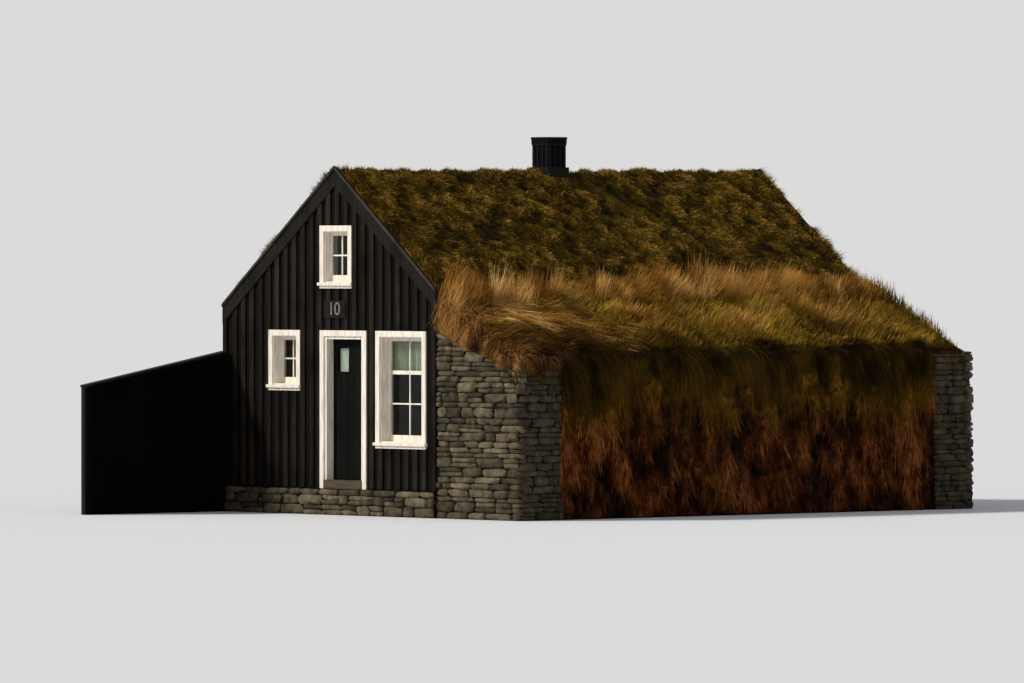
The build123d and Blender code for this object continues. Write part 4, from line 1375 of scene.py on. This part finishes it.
def roof_surface(x, y):
    """Top of the ground: ridge - slope sqrt(x^2 + r^2), plus the rises and the lumps.

    The root rounds the ridge, and most of the height it takes off is put back. Within
    EDGE_ROUND of either verge the surface sinks by the square of how far it is into that
    margin, and within EAVE_ROUND of either eave likewise.
    """
    flat = RIDGE_Z - SLOPE * (np.sqrt(x**2 + RIDGE_ROUND**2) - RIDGE_KEPT * RIDGE_ROUND)
    rise = blended(x, y, ROOF_PLACES, ROOF_RISES, RISE_REACH)
    margin = np.clip(1 - np.minimum(y, REAR_Y - y) / EDGE_ROUND, 0, 1)
    eave = np.clip(1 - (SIDE_X - x) / EAVE_ROUND, 0, 1) + np.clip(1 - (x - KERB_X) / EAVE_ROUND, 0, 1)
    sunk = GRASS_DEEP + EDGE_SINK * margin**2 + EAVE_SINK * eave**2
    return flat + rise + roof_lumps(x, y) * (1 - 0.5 * margin) - sunk


roof_x = even_steps([KERB_X, -HOLE, 0.0, HOLE, SIDE_X], ROOF_STEP)
roof_y = even_steps([0.0, shaft_y - HOLE, shaft_y + HOLE, REAR_Y], ROOF_STEP)
grid_x, grid_y = np.meshgrid(roof_x, roof_y)
top = np.stack([grid_x, grid_y, roof_surface(grid_x, grid_y)], -1)
bottom = np.stack([grid_x, grid_y, roof_z(grid_x) - TURF_DROP + 0.004], -1)
keep = off_chimney((grid_x[:-1, :-1] + grid_x[1:, 1:]) / 2, (grid_y[:-1, :-1] + grid_y[1:, 1:]) / 2)
# The turf's tone follows its lumps: painted shade in the hollows, a painted highlight on the lumps.
roof_turf = toned_shell("roof_turf", top, bottom, roof_ground,
                        lambda x, y, z: relief_shade_tone(roof_lumps(x, y)), keep)
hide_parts("roof_turf_left", "roof_turf_right")

# %% [markdown]
# Short grass stands on the turf in tufts. Hair could do this, but it isn't a mesh, and a
# hair's strands can't be counted or kept. Each blade here is a tapering strip of three
# triangles. Tufts are random points, fewer in the hollows than on the lumps, and their blades
# spread around them, leaning away from the tuft's middle and down the slope. A tuft's tone
# comes from the lump it stands on, so painted light and shade follow the shape: tufts on lumps
# are lighter and those in hollows darker.

# %% Tufts on the roof
TUFT_BLADES = 13
TUFT_SPREAD = 0.035
BLEACHED = 0.1


def roof_tufts(name, sign, count, seed):
    """Tufts on one slope, thinned in the hollows, none inside the chimney."""
    rng = np.random.default_rng(seed)
    reach = SIDE_X if sign > 0 else -KERB_X
    x = sign * rng.uniform(0.0, reach - 0.02, count)
    y = rng.uniform(0.01, REAR_Y - 0.01, count)
    raised = relief_shade_tone(roof_lumps(x, y))
    clear = off_chimney(x, y, 0.05)
    keep = (raised + rng.uniform(-0.3, 0.3, count) > 0.3) & clear
    tone = raised[keep] + rng.uniform(-0.4, 0.18, keep.sum())
    tone = np.clip(tone + 0.5 * (rng.uniform(size=keep.sum()) < BLEACHED), 0, 1)
    x, y = np.repeat(x[keep], TUFT_BLADES), np.repeat(y[keep], TUFT_BLADES)
    number = len(x)
    away = rng.normal(0, 1, (number, 2))
    tuft = np.repeat(rng.uniform(0.6, 1.3, keep.sum()), TUFT_BLADES)
    tone = np.clip(np.repeat(tone, TUFT_BLADES) + rng.uniform(-0.15, 0.15, number), 0, 1)
    x = np.clip(x + TUFT_SPREAD * away[:, 0], KERB_X, SIDE_X + 0.02)
    y = np.clip(y + TUFT_SPREAD * away[:, 1], 0.0, REAR_Y)
    roots = np.stack([x, y, roof_surface(x, y) - 0.012], 1)
    up = np.array([sign * math.sin(PITCH), 0, math.cos(PITCH)])
    down = np.array([sign * math.cos(PITCH), 0, -math.sin(PITCH)])
    lean = 0.95 * up + 0.4 * down + 0.36 * np.stack([away[:, 0], away[:, 1] + 0.15, 0 * x], 1)
    length = tuft * rng.uniform(0.05, 0.1, number)
    return blades(name, roof_grass, roots, lean, length, rng.uniform(0.007, 0.012, number),
                  rng.uniform(0.2, 0.7, number), up, seed + 1, 2, tone)


roof_tufts("roof_tufts_right", 1, 5200, 74)
roof_tufts("roof_tufts_left", -1, 4300, 76)

# %% Taller tufts on the ridge and at the verges
rng = np.random.default_rng(78)
RIDGE_TUFTS = 220
VERGE_BLADES = 7000
ROOT_SINK = 0.01
ridge_y = np.repeat(rng.uniform(0.05, REAR_Y - 0.05, RIDGE_TUFTS), TUFT_BLADES)
ridge_y = ridge_y + rng.normal(0, 0.03, len(ridge_y))
ridge_x = rng.normal(0, 0.06, len(ridge_y))
verge_x = rng.uniform(KERB_X + 0.05, SIDE_X - 0.02, VERGE_BLADES)
inward = rng.uniform(0.005, 0.13, VERGE_BLADES)
at_rear = rng.uniform(size=VERGE_BLADES) < 0.5
verge_y = np.where(at_rear, REAR_Y - inward, inward)
tufted = 0.6 + 0.9 * noise(verge_x, 3.0 * at_rear, 0.13, 84)
x = np.concatenate([ridge_x, verge_x])
y = np.clip(np.concatenate([ridge_y, verge_y]), 0.005, REAR_Y - 0.005)
verge_tall = (0.12 + 0.05 * at_rear) * np.clip(tufted, 0.3, 1.4)
tall = np.concatenate([np.full(len(ridge_x), 0.09), verge_tall])
clear = off_chimney(x, y, 0.03)
x, y, tall = x[clear], y[clear], tall[clear]
number = len(x)
out = np.sign(y - REAR_Y / 2) * (np.minimum(y, REAR_Y - y) < 0.13)
lean = leans(rng, number, np.sign(x) * 0.4, 0.2 + 0.35 * out, 1.0, 0.22)
roots = np.stack([x, y, roof_surface(x, y) - ROOT_SINK], 1)
blades("ridge_and_verge_grass", roof_grass, roots, lean, tall * rng.uniform(0.6, 1.3, number),
       rng.uniform(0.006, 0.011, number), rng.uniform(0.2, 0.6, number), (0.3, -0.4, 1), 79, 2)

# %% Loose tufts that lean out over the rear boards
rng = np.random.default_rng(85)
REAR_TUFTS = 60
REAR_BLADES = 60
tuft_x = rng.uniform(KERB_X + 0.08, SIDE_X - 0.02, REAR_TUFTS)
x = np.repeat(tuft_x, REAR_BLADES) + rng.normal(0, 0.06, REAR_TUFTS * REAR_BLADES)
x = np.clip(x, KERB_X, SIDE_X)
number = len(x)
y = REAR_Y - rng.uniform(0.005, 0.12, number)
long = np.repeat(rng.uniform(0.08, 0.24, REAR_TUFTS), REAR_BLADES) * rng.uniform(0.5, 1.2, number)
tone = np.repeat(rng.uniform(0, 1, REAR_TUFTS), REAR_BLADES) + rng.uniform(-0.2, 0.2, number)
lean = leans(rng, number, 0.5 * np.sign(x), 0.6, 0.7, 0.25)
roots = np.stack([x, y, roof_surface(x, y) - ROOT_SINK], 1)
blades("rear_verge_tufts", roof_grass, roots, lean, long, rng.uniform(0.007, 0.012, number),
       rng.uniform(0.3, 0.9, number), (0.5, 0.5, 1), 86, 3, np.clip(tone, 0, 1))

# %% [markdown]
# ## The bank's turf
#
# Turf covers the bank from the eave down to its outer edge, where it curls over and hangs.
# It is a profile carried along the bank: a straight fall, then an arc over the edge. The
# profile's height shrinks to the stone's top at the two ends, on a quarter ellipse, so that
# the ends are rounded instead of sawn off. The rear stone rises higher into the turf, so
# there the turf is thin and hardly curls over. The broad rises are again the construction's.

# %% Bank turf shell
OUTER_BAND = 0.06
LIP_RADIUS = 0.07
LIP_FROM = 0.84
LIP_DROP = 2.4
LIP_TURN = math.radians(115)
END_ROUND = 0.32
EAVE_RISE = 0.06
turf_points = points_of("bank_top_turf")
BANK_INNER_Z = turf_points[:, 2].max()
outer = turf_points[turf_points[:, 0] > STONE_OUTER_X - OUTER_BAND]
BANK_OUTER_X = outer[outer[:, 2].argmax(), 0]
BANK_OUTER_Z = outer[:, 2].max()
at_front = turf_points[turf_points[:, 1] < BANK_FRONT[0] + 0.01]
SLUMP_INNER = BANK_INNER_Z - at_front[:, 2].max()
SLUMP_OUTER = BANK_OUTER_Z - at_front[at_front[:, 0] > STONE_OUTER_X - OUTER_BAND][:, 2].max()
SLUMP_REACH = np.unique(turf_points[:, 1].round(3))[1]
print(f"bank turf from {BANK_INNER_Z:.2f} to {BANK_OUTER_Z:.2f}, sinking over {SLUMP_REACH:.2f}")


def bank_even(x, y):
    """Height of the bank turf's even surface, which sinks towards its front end."""
    slump = np.clip(1 - y / SLUMP_REACH, 0, 1)
    inner = BANK_INNER_Z - SLUMP_INNER * slump
    outer_z = BANK_OUTER_Z - SLUMP_OUTER * slump
    return inner + (x - SIDE_X) / (BANK_OUTER_X - SIDE_X) * (outer_z - inner)


BANK_PLACES, BANK_RISES = turf_top(turf_points, lambda p: bank_even(p[:, 0], p[:, 1]))


def bank_lumps(x, y):
    """Small lumps of the bank's turf."""
    return lumps(x, y, (0.4, 0.18), (0.04, 0.025), 81)


def bank_surface(y, u):
    """Point of the turf's top at y and u, which runs from the eave (0) over the edge (1).

    Up to LIP_FROM the profile falls evenly from the inner to the outer height, with a small
    rise under the eave. Past it the angle a grows to LIP_TURN: x = edge + r sin a and
    z = height - LIP_DROP r (1 - cos a), less of it over the rear stone.
    """
    y, u = np.broadcast_arrays(np.asarray(y, float), np.asarray(u, float))
    flat = np.clip(u / LIP_FROM, 0, 1)
    angle = np.clip((u - LIP_FROM) / (1 - LIP_FROM), 0, 1) * LIP_TURN
    top_x = SIDE_X - 0.02 + flat * (BANK_OUTER_X + 0.02 - SIDE_X)
    on_rear = np.clip((y - BANK_REAR[0] + 0.1) / 0.2, 0, 1)
    curl = (1 - 0.75 * on_rear) * LIP_RADIUS
    x = top_x + curl * np.sin(angle)
    z = bank_even(top_x, y) - LIP_DROP * curl * (1 - np.cos(angle))
    z = z + EAVE_RISE * np.exp(-flat / 0.07) + blended(top_x, y, BANK_PLACES, BANK_RISES, RISE_REACH)
    z = z + bank_lumps(x, y) * (0.35 + 0.65 * (flat < 1)) * (1 - 0.6 * on_rear)
    near = np.clip(1 - (y - BANK_FRONT[0] + 0.05) / END_ROUND, 0, 1)
    far = np.clip(1 - (BANK_REAR[1] - y) / END_ROUND, 0, 1)
    keep_height = np.sqrt(np.clip(1 - np.maximum(near, far)**2, 0, 1))
    rest = np.minimum(z, stone_top(x, np.where(far > 0, REAR_RISE, 0.0)) - 0.03)
    return x, y, rest + (z - rest) * keep_height


def bank_tone_and_edge_shade(x, y, z):
    """Tone of the lumps at a place, pushed much darker past the outer edge as painted shade under the
    curl.
    """
    return relief_shade_tone(bank_lumps(x, y)) - 1.2 * np.clip((x - BANK_OUTER_X + 0.1) / 0.08, 0, 1)


bank_y = even_steps([BANK_FRONT[0] - 0.05, 0.4, BANK_REAR[1] - 0.35, BANK_REAR[1] - 0.01], 0.06)
bank_u = np.concatenate([np.linspace(0, LIP_FROM, 34), np.linspace(LIP_FROM, 1, 8)[1:]])
grid_u, grid_y = np.meshgrid(bank_u, bank_y)
top = np.stack(bank_surface(grid_y, grid_u), -1)
under_x = np.minimum(top[..., 0], BANK_OUTER_X - 0.02)
under_z = np.minimum(stone_top(under_x) - 0.05, top[..., 2] - 0.01)
bottom = np.stack([under_x, np.clip(top[..., 1], BANK_FRONT[0], BANK_REAR[1]), under_z], -1)
bank_turf = toned_shell("bank_turf", top, bottom, bank_ground, bank_tone_and_edge_shade)
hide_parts("bank_top_turf")

# %% [markdown]
# Long grass grows on the bank. It stands tallest in a fringe along the eave, where it is
# bleached to straw. Further down the wind has combed it towards the rear, and over the
# edges it hangs. Each part has its own roots, lean and droop, and the same blade formula.
# Grass lies in locks, so a blade's tone is partly its own and partly its lock's. A lock is
# noise that is stretched the way the grass is combed. One broad sweep of bleached grass runs
# from the eave down to the outer edge, and past it, at the front corner, the turf is dark.


# %% Grass on the bank's top
SWEEP_FROM = (0.8, 0.22)
SWEEP_TO = (2.5, 0.66)


def clumped(rng, count, low, high, clumps, spread):
    """Places between two corners, half of them spread evenly and half gathered in clumps."""
    low, high = np.array(low, float), np.array(high, float)
    even = rng.uniform(low, high, (count // 2, len(low)))
    centres = rng.uniform(low, high, (clumps, len(low)))
    near = centres[rng.integers(0, clumps, count - count // 2)]
    near = near + rng.normal(0, 1, near.shape) * np.array(spread)
    return np.clip(np.concatenate([even, near]), low, high)


def bank_roots(places, sink=0.015):
    """Points just under the bank's surface at places (y, u)."""
    x, y, z = bank_surface(places[:, 0], places[:, 1])
    return np.stack([x, y, z - sink], 1)


def held_up(roots, lean, length, droop, lowest):
    """Lengths, cut so that no tip hangs lower than the lowest height.

    A tip lies length (droop - upward part of the lean) under its root.
    """
    fall = droop - lean[:, 2] / np.linalg.norm(lean, axis=1)
    most = np.maximum((roots[:, 2] - lowest) / np.maximum(fall, 0.01), 0.03)
    return np.minimum(length, np.where(fall > 0, most, length))


def locks(rng, across, along, seed, own=0.4):
    """Tones from 0 to 1: an own part, and a part shared by blades with like coordinates."""
    shared = 0.5 + 0.8 * noise(across, along, 1.0, seed)
    return np.clip(own * rng.uniform(0, 1, len(across)) + (1 - own) * shared, 0, 1)


def beyond_sweep(places):
    """From 0 on the sweep's inner side to 1 at the front's outer corner, for places (y, u)."""
    rise = (SWEEP_TO[1] - SWEEP_FROM[1]) / (SWEEP_TO[0] - SWEEP_FROM[0])
    line = SWEEP_FROM[1] + rise * (places[:, 0] - SWEEP_FROM[0])
    fade = np.clip((SWEEP_TO[0] - places[:, 0]) / 0.8, 0, 1)
    return np.clip((places[:, 1] - np.maximum(line, 0.3)) / 0.15, 0, 1) * fade


rng = np.random.default_rng(91)
count = 26000
places = clumped(rng, count, (0.0, 0.0), (BANK_REAR[1] - 0.1, LIP_FROM - 0.04), 800, (0.09, 0.05))
roots = bank_roots(places)
swirl = noise(roots[:, 0], roots[:, 1], 0.9, 92)
lean = np.stack([0.42 + 0.28 * swirl, 0.55 - 0.25 * swirl, 0.5 + 0 * swirl], 1)
upright = np.clip((roots[:, 1] - 1.8) / 1.2, 0, 1)
lean = lean * (1 - np.stack([0.3 * upright, 0.6 * upright, -1.4 * upright], 1))
lean += rng.normal(0, 0.17, (count, 3))
tall = 0.75 + 0.5 * noise(roots[:, 0], roots[:, 1], 0.5, 93)
near_rear = np.clip(1 - (BANK_REAR[1] - roots[:, 1]) / 0.9, 0, 1)
lean[:, 1] -= 0.5 * near_rear
lean[:, 2] += 0.35 * near_rear
across = (0.8 * roots[:, 0] - 0.6 * roots[:, 1]) / 0.13 + 2.0 * swirl
along = (0.6 * roots[:, 0] + 0.8 * roots[:, 1]) / 1.1
tone = locks(rng, across, along, 99) - 0.5 * beyond_sweep(places)
tone += 0.2 * np.clip(1 - places[:, 0], 0, 1)
blades("bank_grass", bank_grass, roots, lean, tall * rng.uniform(0.2, 0.46, count),
       rng.uniform(0.006, 0.012, count), rng.uniform(0.2, 0.8, count), (0.4, -0.3, 1), 94, 3, tone)

# %% Straw fringe at the eave
STRAW_FACING = (0.8, -0.5, 0.4)
rng = np.random.default_rng(95)
count = 11000
places = clumped(rng, count, (0.02, 0.0), (BANK_REAR[1] - 0.3, 0.17), 150, (0.1, 0.03))
roots = bank_roots(places)
swirl = noise(roots[:, 1], roots[:, 0], 0.7, 96)
lean = leans(rng, count, 0.12 + 0.15 * swirl, 0.22 + 0.3 * swirl, 1, 0.17)
lean[:, :2] = np.where(roots[:, 1:2] < 0.3, np.abs(lean[:, :2]), lean[:, :2])
tall = 0.8 + 0.5 * noise(roots[:, 1], 0, 0.45, 97)
blades("straw_fringe", fringe_grass, roots, lean, tall * rng.uniform(0.22, 0.66, count),
       rng.uniform(0.005, 0.01, count), rng.uniform(0.05, 0.4, count), STRAW_FACING, 98, 4,
       locks(rng, roots[:, 1] / 0.14, roots[:, 0] / 0.5, 100))

# %% Tall bleached tufts in the fringe
TALL_TUFTS = np.array([
    (0.93, 0.13), (1.15, 0.16), (2.2, 0.1), (3.1, 0.14), (4.4, 0.08), (5.2, 0.15), (6.4, 0.1),
    (7.3, 0.13), (8.1, 0.09),
])
TALL_BLADES = 70
rng = np.random.default_rng(126)
which = np.repeat(np.arange(len(TALL_TUFTS)), TALL_BLADES)
count = len(which)
loose = np.linspace(0.04, 0.12, len(TALL_TUFTS))[which]
shift = rng.normal(0, 1, (count, 2)) * np.stack([loose, 0.3 * loose], 1)
roots = bank_roots(TALL_TUFTS[which] + shift)
lean = np.array([0.12, 0.08, 1.0]) + rng.normal(0, 1, (count, 3)) * (0.08 + loose)[:, None]
tall = np.linspace(0.78, 0.5, len(TALL_TUFTS))[which] * rng.uniform(0.55, 1.0, count)
blades("tall_tufts", fringe_grass, roots, lean, tall, rng.uniform(0.006, 0.011, count),
       rng.uniform(0.05, 0.3, count), STRAW_FACING, 127, 4,
       rng.uniform(0.6, 1.0, count) + 0.6 * (which == 0))

# %% Grass hanging over the outer edge
rng = np.random.default_rng(101)
count = 18000
places = clumped(rng, count, (0.05, LIP_FROM - 0.12), (BANK_REAR[1] - 0.05, 0.99), 400, (0.1, 0.03))
roots = bank_roots(places)
over = np.clip((places[:, 1] - LIP_FROM + 0.12) / 0.15, 0, 1)
lean = leans(rng, count, 0.5 - 0.34 * over, 0.1, 0.75 - 1.3 * over, 0.13)
tall = 0.7 + 0.5 * noise(roots[:, 1], 0, 0.35, 102)
on_stone = (roots[:, 1] < BANK_FRONT[1]) | (roots[:, 1] > BANK_REAR[0] - 0.1)
tall = np.where(on_stone, 0.3 * tall, tall) * (0.6 + 0.4 * over)
blades("edge_grass", lip_grass_painted_shade, roots, lean, tall * rng.uniform(0.16, 0.6, count),
       rng.uniform(0.007, 0.013, count), rng.uniform(0.5, 1.0, count), (1, -0.3, 0.2), 103, 3,
       locks(rng, roots[:, 1] / 0.16, roots[:, 0] / 0.3, 110))

# %% Rusty grass hanging over the front end
rng = np.random.default_rng(104)
count = 7000
places = clumped(rng, count, (BANK_FRONT[0] - 0.04, 0.03), (0.35, 0.97), 100, (0.05, 0.04))
roots = bank_roots(places)
drape = 0.55 + 0.75 * noise(places[:, 1] * 1.8, 0, 0.3, 106)
reach = np.clip(drape, 0.3, 1.2) * rng.uniform(0.14, 0.42, count)
outer = np.clip(places[:, 1] / 0.35, 0, 1)
lean = leans(rng, count, 0.15, -0.45 * outer, 0.4 - 0.35 * outer, 0.25)
lean[:, 0] = np.where(outer < 0.6, np.abs(lean[:, 0]), lean[:, 0])
droop = rng.uniform(0.6, 1.2, count)
ragged = noise(roots[:, 0], 0, 0.12, 108) * 0.5 + 0.5
lowest = stone_top(roots[:, 0]) + 0.04 - 0.14 * ragged * rng.uniform(0.1, 1.1, count)
tone = locks(rng, roots[:, 0] / 0.13, roots[:, 1] / 0.6, 107)
tone += 0.3 * np.clip(1 - places[:, 1] / 0.3, 0, 1)
blades("end_grass", front_grass, roots, lean, held_up(roots, lean, reach, droop, lowest),
       rng.uniform(0.006, 0.011, count), droop, (0.3, -1, 0.5), 105, 3, np.clip(tone, 0, 1))

# %% [markdown]
# At the front's outer corner the turf has slumped over the stone, and its dead grass lies
# there in thick dark clumps. From the eave, long bleached locks are combed down to the edge.
# Both are locks: one root place for many blades that share a lean, a length and a tone.


# %% Clumps at the outer corner
def gathered(rng, low, high, clumps, each, spread):
    """Places (y, u) in clumps between two corners, and the number of the clump of each."""
    centres = rng.uniform(low, high, (clumps, 2))
    which = np.repeat(np.arange(clumps), each)
    places = centres[which] + rng.normal(0, 1, (len(which), 2)) * np.array(spread)
    return np.clip(places, np.array(low) - 0.02, np.array(high) + 0.01), which


rng = np.random.default_rng(121)
CLUMPS = 60
CLUMP_BLADES = 75
places, which = gathered(rng, (BANK_FRONT[0] - 0.02, 0.6), (BANK_FRONT[1] + 0.25, 0.97), CLUMPS,
                         CLUMP_BLADES, (0.05, 0.02))
count = len(which)
roots = bank_roots(places)
outer = np.clip((places[:, 1] - 0.6) / 0.37, 0, 1)
shared = rng.normal(0, 0.12, (CLUMPS, 3))[which]
lean = shared + leans(rng, count, 0.25 + 0.3 * outer, -0.3 + 0.3 * outer, 0.1 - 0.2 * outer, 0.14)
long = rng.uniform(0.16, 0.4, CLUMPS)[which] * rng.uniform(0.5, 1.1, count)
droop = rng.uniform(0.5, 1.1, count)
at_front = np.clip(1 - places[:, 0] / 0.3, 0, 1)
lowest = STONE_OUTER_Z - 0.02 + 0.12 * at_front - rng.uniform(0, 0.1, CLUMPS)[which]
tone = rng.uniform(-0.3, 0.6, CLUMPS)[which] + rng.uniform(-0.25, 0.05, count) + 0.5 * at_front
blades("corner_clumps", front_grass, roots, lean, held_up(roots, lean, long, droop, lowest),
       rng.uniform(0.007, 0.012, count), droop, (0.8, -0.8, 0.4), 122, 4, np.clip(tone, 0, 1))

# %% Combed locks, most of them along the sweep
SWEEP_LOCKS = 150
OTHER_LOCKS = 24
LOCK_BLADES = 20
rng = np.random.default_rng(123)
way = rng.uniform(0, 1, (SWEEP_LOCKS, 1))
swept = np.array(SWEEP_FROM) + way * (np.array(SWEEP_TO) - SWEEP_FROM)
swept = swept + rng.normal(0, 1, swept.shape) * (0.18, 0.07)
others = rng.uniform((1.2, 0.05), (3.8, 0.5), (OTHER_LOCKS, 2))
centres = np.concatenate([swept, others])
which = np.repeat(np.arange(len(centres)), LOCK_BLADES)
count = len(which)
places = centres[which] + rng.normal(0, 1, (count, 2)) * (0.06, 0.025)
places = np.clip(places, (0.05, 0.02), (8.5, 0.9))
roots = bank_roots(places)
curve = rng.uniform(-0.2, 0.2, len(centres))[which]
lean = leans(rng, count, 0.62 - curve, 0.7 + curve, 0.1, 0.09)
long = rng.uniform(0.4, 0.8, len(centres))[which] * rng.uniform(0.6, 1.05, count)
long = long * np.clip(1.15 - 0.8 * places[:, 1], 0.4, 1)
bright = np.concatenate([rng.uniform(0.3, 1.0, SWEEP_LOCKS), rng.uniform(0.1, 0.6, OTHER_LOCKS)])
tone = np.clip(bright[which] + rng.uniform(-0.2, 0.2, count), 0, 1)
blades("combed_locks", fringe_grass, roots, lean, long, rng.uniform(0.008, 0.014, count),
       rng.uniform(0.3, 0.5, count), (0.4, -0.5, 1), 124, 5, tone)

# %% [markdown]
# ## The bank's side
#
# Between the stone ends the side is built of turf blocks. They have slumped together, and
# their roots hang down the face in red-brown strands, mossy near the top. One function says
# how grown each place is. It moves the face in and out, thins the roots and gives both their
# tone, so that the hollows are real hollows, and also painted darker as shade, while the thick
# roots get lighter, reddish painted highlights. They fade out where the stone begins.

# %% Side turf shell
SIDE_DEPTH = 0.04
SIDE_THICK = 0.25


def side_growth(y, z):
    """From 0 in a bare hollow to 1 in thick roots: upright streaks broken up by patches."""
    streaks = noise(y / 0.12, z / 0.5, 1.0, 116)
    patches = noise(y, z * 0.8, 0.3, 117)
    specks = noise(y, z * 0.7, 0.11, 118)
    return np.clip(0.5 + 0.27 * streaks + 0.5 * patches + 0.36 * specks, 0, 1)


side_y = even_steps([BANK_FRONT[1] - 0.06, BANK_REAR[0] + 0.06], 0.04)
side_z = even_steps([0.0, STONE_OUTER_Z + 0.06], 0.06)
grid_y, grid_z = np.meshgrid(side_y, side_z)
fade = np.clip(np.minimum(grid_y - side_y[0], side_y[-1] - grid_y) / 0.2, 0, 1)
relief = SIDE_DEPTH * (2 * side_growth(grid_y, grid_z) - 1) + 0.02 * noise(grid_y, grid_z, 0.9, 111)
even_x = BANK_FOOT_X - BANK_LEAN * grid_z
front_side = np.stack([even_x + 0.005 + relief * fade, grid_y, grid_z], -1)
back_side = np.stack([even_x - SIDE_THICK, grid_y, grid_z], -1)
# The shell's tone is side_growth too: painted shade in the hollows, painted light on the thick roots.
side_turf = toned_shell("side_turf", front_side, back_side, side_ground,
                        lambda x, y, z: side_growth(y, z))
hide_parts("bank_side_turf")

# %% Hanging roots
rng = np.random.default_rng(114)
count = 22000
places = clumped(rng, count, (BANK_FRONT[1] - 0.02, 0.06), (BANK_REAR[0] + 0.02, STONE_OUTER_Z),
                 700, (0.035, 0.25))
grown = side_growth(places[:, 0], places[:, 1])
keep = grown + rng.uniform(-0.3, 0.3, count) > 0.38
places, grown = places[keep], grown[keep]
count = len(places)
hang = np.minimum(rng.uniform(0.06, 0.34, count) * (0.5 + grown), places[:, 1] - 0.01)
sway = 0.5 * noise(places[:, 0], places[:, 1], 0.22, 119)
out = BANK_FOOT_X - BANK_LEAN * places[:, 1] + SIDE_DEPTH * (2 * grown - 1)
roots = np.stack([out, places[:, 0], places[:, 1]], 1)
lean = np.stack([rng.normal(0.12, 0.06, count), sway + rng.normal(0, 0.25, count),
                 np.full(count, -1.0)], 1)
# Roots in the hollows get darker tones: painted shade.
tone = np.clip(0.7 * grown + rng.uniform(-0.15, 0.4, count), 0, 1)
blades("hanging_roots", root_strands, roots, lean, hang, rng.uniform(0.007, 0.018, count),
       np.zeros(count), (1, -0.2, 0.1), 115, 3, tone)

# %% [markdown]
# ## Camera, light and floor
#
# The viewpoint is the photograph's: far off to the front right, a little above the eaves,
# with a long lens. A camera fitted to the house's own edges gave the place. The key light is
# broad and comes from the front left, so the gable is bright and the bank's side is in
# shade. The pale surroundings come from the background's colour, which only the camera,
# reflections and the glass see, and the light on the house comes from plain lamps.

# %% Camera
CAMERA_AT = Vector((104.0, -90.1, 4.18))
AIM_AT = Vector((0.55, 3.1, 2.62))
LENS = 318.0

camera_data = bpy.data.cameras.new("viewpoint")
camera_data.lens = LENS
camera_data.clip_end = 3000.0
camera = placed("viewpoint", camera_data)
camera.location = CAMERA_AT
camera.rotation_euler = (AIM_AT - CAMERA_AT).to_track_quat("-Z", "Y").to_euler()
bpy.context.scene.camera = camera
print("camera", round((AIM_AT - CAMERA_AT).length, 1), "m away")


# %% Lights
def sun(name, toward, strength, spread, colour):
    """A broad distant lamp that shines on the house from a direction."""
    data = bpy.data.lights.new(name, "SUN")
    data.energy = strength
    data.angle = math.radians(spread)
    data.color = colour
    lamp = placed(name, data)
    lamp.rotation_euler = (-Vector(toward)).to_track_quat("-Z", "Y").to_euler()


PALE = (0.708, 0.708, 0.706, 1)
sun("key", (-5.0, -8.0, 7.0), 3.15, 8, (1.0, 0.96, 0.9))
sun("fill", (9.0, -2.0, 5.0), 0.1, 60, (0.96, 0.98, 1.0))

world = bpy.data.worlds.new("studio")
bpy.context.scene.world = world
world.use_nodes = True
sky = world.node_tree
lighting = sky.nodes["Background"]
lighting.inputs["Color"].default_value = (0.93, 0.96, 1.0, 1)
lighting.inputs["Strength"].default_value = 0.36
shown = sky.nodes.new("ShaderNodeBackground")
shown.inputs["Color"].default_value = PALE
shown.inputs["Strength"].default_value = 1.0
rays = sky.nodes.new("ShaderNodeLightPath").outputs
seen = rays["Is Camera Ray"]
for kind in ("Is Glossy Ray", "Is Transmission Ray"):
    either = sky.nodes.new("ShaderNodeMath")
    either.operation = "MAXIMUM"
    sky.links.new(seen, either.inputs[0])
    sky.links.new(rays[kind], either.inputs[1])
    seen = either.outputs[0]
pick = sky.nodes.new("ShaderNodeMixShader")
for place, value in enumerate((seen, lighting.outputs[0], shown.outputs[0])):
    sky.links.new(value, pick.inputs[place])
sky.links.new(pick.outputs[0], sky.nodes["World Output"].inputs["Surface"])

# %% Floor
FLOOR_REACH = 1500.0
floor_finish = Finish("studio_floor", roughness=0.95, specular=0.05)
floor_tone = floor_finish.ramp(floor_finish.noise(0.1, 2.0),
                               [(0.3, (0.745, 0.752, 0.772, 1)), (0.7, (0.755, 0.762, 0.782, 1))])
floor_finish.close(floor_tone)
floor_mesh = bpy.data.meshes.new("floor")
corners = [(FLOOR_REACH * x, FLOOR_REACH * y, 0) for x, y in ((-1, -1), (1, -1), (1, 1), (-1, 1))]
floor_mesh.from_pydata(corners, [], [(0, 1, 2, 3)])
floor_mesh.materials.append(floor_finish.material)
floor = placed("floor", floor_mesh)

bpy.context.scene.view_settings.view_transform = "Standard"

# %% Count the faces
total = sum(len(piece.data.polygons) for piece in bpy.context.scene.objects if piece.type == "MESH")
print("faces in all:", total)
